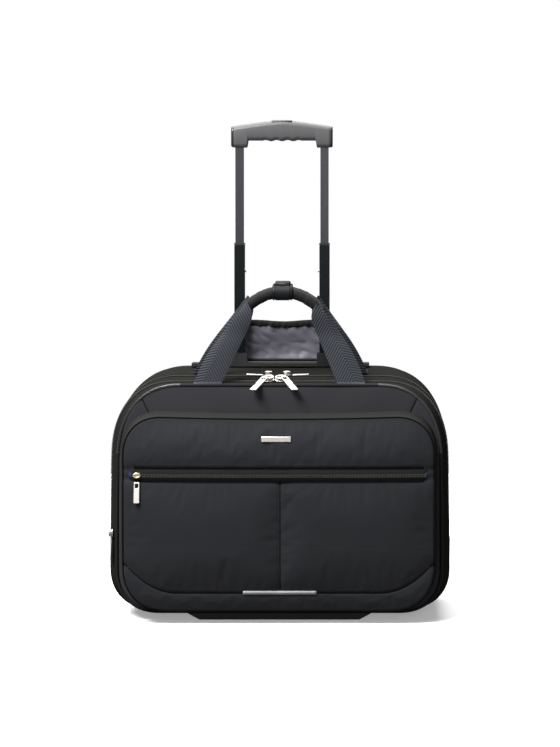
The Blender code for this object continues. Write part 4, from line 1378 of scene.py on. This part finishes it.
def build_hard_parts():
    """CAD nodes that keep their shape."""
    for side in ("left", "right"):
        paint(f"inner_tube_{side}", "tube", 1.0 * MM)
        paint(f"middle_tube_{side}", "outer_tube", 0.9 * MM)
        paint(f"middle_collar_{side}", "plastic", 0.5 * MM)
        paint(f"lock_stud_{side}", "metal", 0.4 * MM)
        paint(f"tube_sheath_{side}", "outer_tube", 0.4 * MM)
        paint(f"socket_bezel_{side}", "plastic", 1.0 * MM)
        paint(f"wheel_housing_{side}", "plastic", 1.2 * MM)
        paint(f"wheel_axle_{side}", "metal", 0.5 * MM)
        paint(f"wheel_hub_{side}", "grip_dark", 0.8 * MM)
        paint(f"wheel_tyre_{side}", "rubber", 1.2 * MM)
    low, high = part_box("grip_button")
    low.z = high.z - 7 * MM
    middle = (low + high) / 2
    bm = bmesh.new()
    add_block(bm, Matrix.Translation(middle - Vector((0, 0, 1.2 * MM))), high - low)
    bevel(make_object("grip_button_cap", bm, "grip_cap", "button", ["grip_button"]), 2.6 * MM, 4)
    paint("well_rim", "plastic", 1.2 * MM)
    paint("tube_bracket", "plastic", 1.0 * MM)
    paint("front_foot", "plastic", 1.6 * MM)


def build_flap():
    """The lined flap behind the tubes, with soft folds and a gathered binding."""
    low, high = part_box("cover_flap")
    wide, tall = high.x - low.x, high.z - low.z
    middle = (low.y + high.y) / 2

    def fold(u, v):
        point = Vector((u * 3.1, v * 1.7, 2.3))
        slow = noise.noise(point) * 4.5 * MM
        crease = noise.noise(Vector((u * 6 + v * 2.2, v * 3 - u, 7.1)))
        sharp = (1 - abs(crease) * 2) * 1.6 * MM
        gather = math.sin(u * 46 + 3 * noise.noise(Vector((u * 5, 0, 1)))) * 0.9 * MM
        gather *= smooth_step((v - 0.7) / 0.3)
        return (slow + sharp) * smooth_step(v * 6) + gather

    columns, rows_count = 80, 44
    rows = []
    for i in range(rows_count + 1):
        v = i / rows_count
        row = []
        for j in range(columns + 1):
            u = j / columns
            x = low.x + wide * u
            z = low.z + tall * v * (0.97 + 0.02 * math.sin(u * 9))
            row.append(Vector((x, middle + fold(u, v), z)))
        rows.append(row)
    bm = grid_mesh(rows)
    obj = make_object("flap_lining", bm, ["lining", "back"], "flap", ["cover_flap"], smooth=0)
    solidify(obj, 1.0 * MM, 1)
    edge = [p + Vector((0, 0, 0.5 * MM)) for p in rows[-1]]
    bm = bmesh.new()
    rings = []
    for k in range(13):
        a = PI * 2 * k / 12
        rings.append([bm.verts.new(p + Vector((0, 2.4 * MM * math.cos(a) * (1 + 0.25 * math.sin(i * 1.1)),
                                               4.6 * MM * math.sin(a) - 2.5 * MM)))
                      for i, p in enumerate(edge)])
    add_quads(bm, rings)
    bmesh.ops.remove_doubles(bm, verts=bm.verts, dist=1e-6)
    bmesh.ops.holes_fill(bm, edges=bm.edges)
    bmesh.ops.recalc_face_normals(bm, faces=bm.faces)
    make_object("flap_binding", bm, "binding", "flap")
    hinge = [Vector((low.x - 4 * MM + (wide + 8 * MM) * i / 40, middle, low.z + 0.4 * MM)) for i in range(41)]
    make_object("flap_hinge_welt", tube_mesh(hinge, 2.3 * MM, 12), "binding", "flap")


# ---------------------------------------------------------------- stage

def build_stage():
    """Pale floor, soft light and the camera."""
    scene = bpy.context.scene
    scene.view_settings.view_transform = "Standard"
    world = bpy.data.worlds.new("studio")
    scene.world = world
    world.use_nodes = True
    tree = world.node_tree
    seen = tree.nodes["Background"]
    seen.inputs[0].default_value = (1, 1, 1, 1)
    lighting = node(tree, "ShaderNodeBackground", in_Color=(1, 1, 1, 1), in_Strength=0.14)
    mix = node(tree, "ShaderNodeMixShader")
    path = node(tree, "ShaderNodeLightPath")
    tree.links.new(path.outputs["Is Camera Ray"], mix.inputs[0])
    tree.links.new(lighting.outputs[0], mix.inputs[1])
    tree.links.new(seen.outputs[0], mix.inputs[2])
    tree.links.new(mix.outputs[0], tree.nodes["World Output"].inputs["Surface"])
    mat = bpy.data.materials.new("floor")
    mat.use_nodes = True
    shader = mat.node_tree.nodes["Principled BSDF"]
    shader.inputs["Base Color"].default_value = (0.92, 0.92, 0.92, 1)
    shader.inputs["Roughness"].default_value = 0.9
    shader.inputs["Emission Color"].default_value = (1, 1, 1, 1)
    shader.inputs["Emission Strength"].default_value = 0.30
    floor_tree = mat.node_tree
    dim = node(floor_tree, "ShaderNodeBsdfDiffuse", in_Color=(0.14, 0.14, 0.14, 1))
    choice = node(floor_tree, "ShaderNodeMixShader")
    ray = node(floor_tree, "ShaderNodeLightPath")
    floor_tree.links.new(ray.outputs["Is Camera Ray"], choice.inputs[0])
    floor_tree.links.new(dim.outputs[0], choice.inputs[1])
    floor_tree.links.new(shader.outputs[0], choice.inputs[2])
    floor_tree.links.new(choice.outputs[0], floor_tree.nodes["Material Output"].inputs["Surface"])
    bm = bmesh.new()
    bmesh.ops.create_circle(bm, cap_ends=True, segments=64, radius=1.35)
    mesh = bpy.data.meshes.new("floor")
    bm.to_mesh(mesh)
    bm.free()
    mesh.materials.append(mat)
    floor = bpy.data.objects.new("floor", mesh)
    scene.collection.objects.link(floor)
    for name, place, aim, size, power in (
        ("key", (-1.2, -1.3, 2.5), (0, -0.1, 0.25), 1.3, 210),
        ("fill", (0.2, -2.8, 0.9), (0, 0, 0.3), 1.0, 14),
        ("top", (0, 1.0, 2.4), (0, 0.5, 0), 2.0, 110),
    ):
        light = bpy.data.lights.new(name, "AREA")
        light.energy = power
        light.size = size
        lamp = bpy.data.objects.new(name, light)
        lamp.location = place
        lamp.rotation_mode = "QUATERNION"
        lamp.rotation_quaternion = (Vector(aim) - Vector(place)).to_track_quat("-Z", "Y")
        scene.collection.objects.link(lamp)
    camera = bpy.data.cameras.new("camera")
    camera.lens = LENS
    camera.sensor_width = 36
    camera.shift_y = -SHIFT_DOWN
    camera.shift_x = SHIFT_TRIM - EYE.x / FRAME_AT_FRONT
    eye = bpy.data.objects.new("camera", camera)
    eye.location = EYE
    eye.rotation_euler = (PI / 2 - LOOK_DOWN, 0, 0)
    camera.clip_start = 0.05
    camera.clip_end = 100
    scene.collection.objects.link(eye)
    scene.camera = eye


build_stage()
POCKET_CLOTH = fill_pocket()
build_shell()
build_panels()
build_pocket()
build_pocket_zip()
build_sliders()
build_handle("front_handle", "front_handle", FRONT_LEAN, -1)
build_handle("rear_handle", "rear_handle", REAR_LEAN, 1, REAR_SPREAD, 5 * MM)
build_anchors()
build_grip()
build_hard_parts()
build_flap()
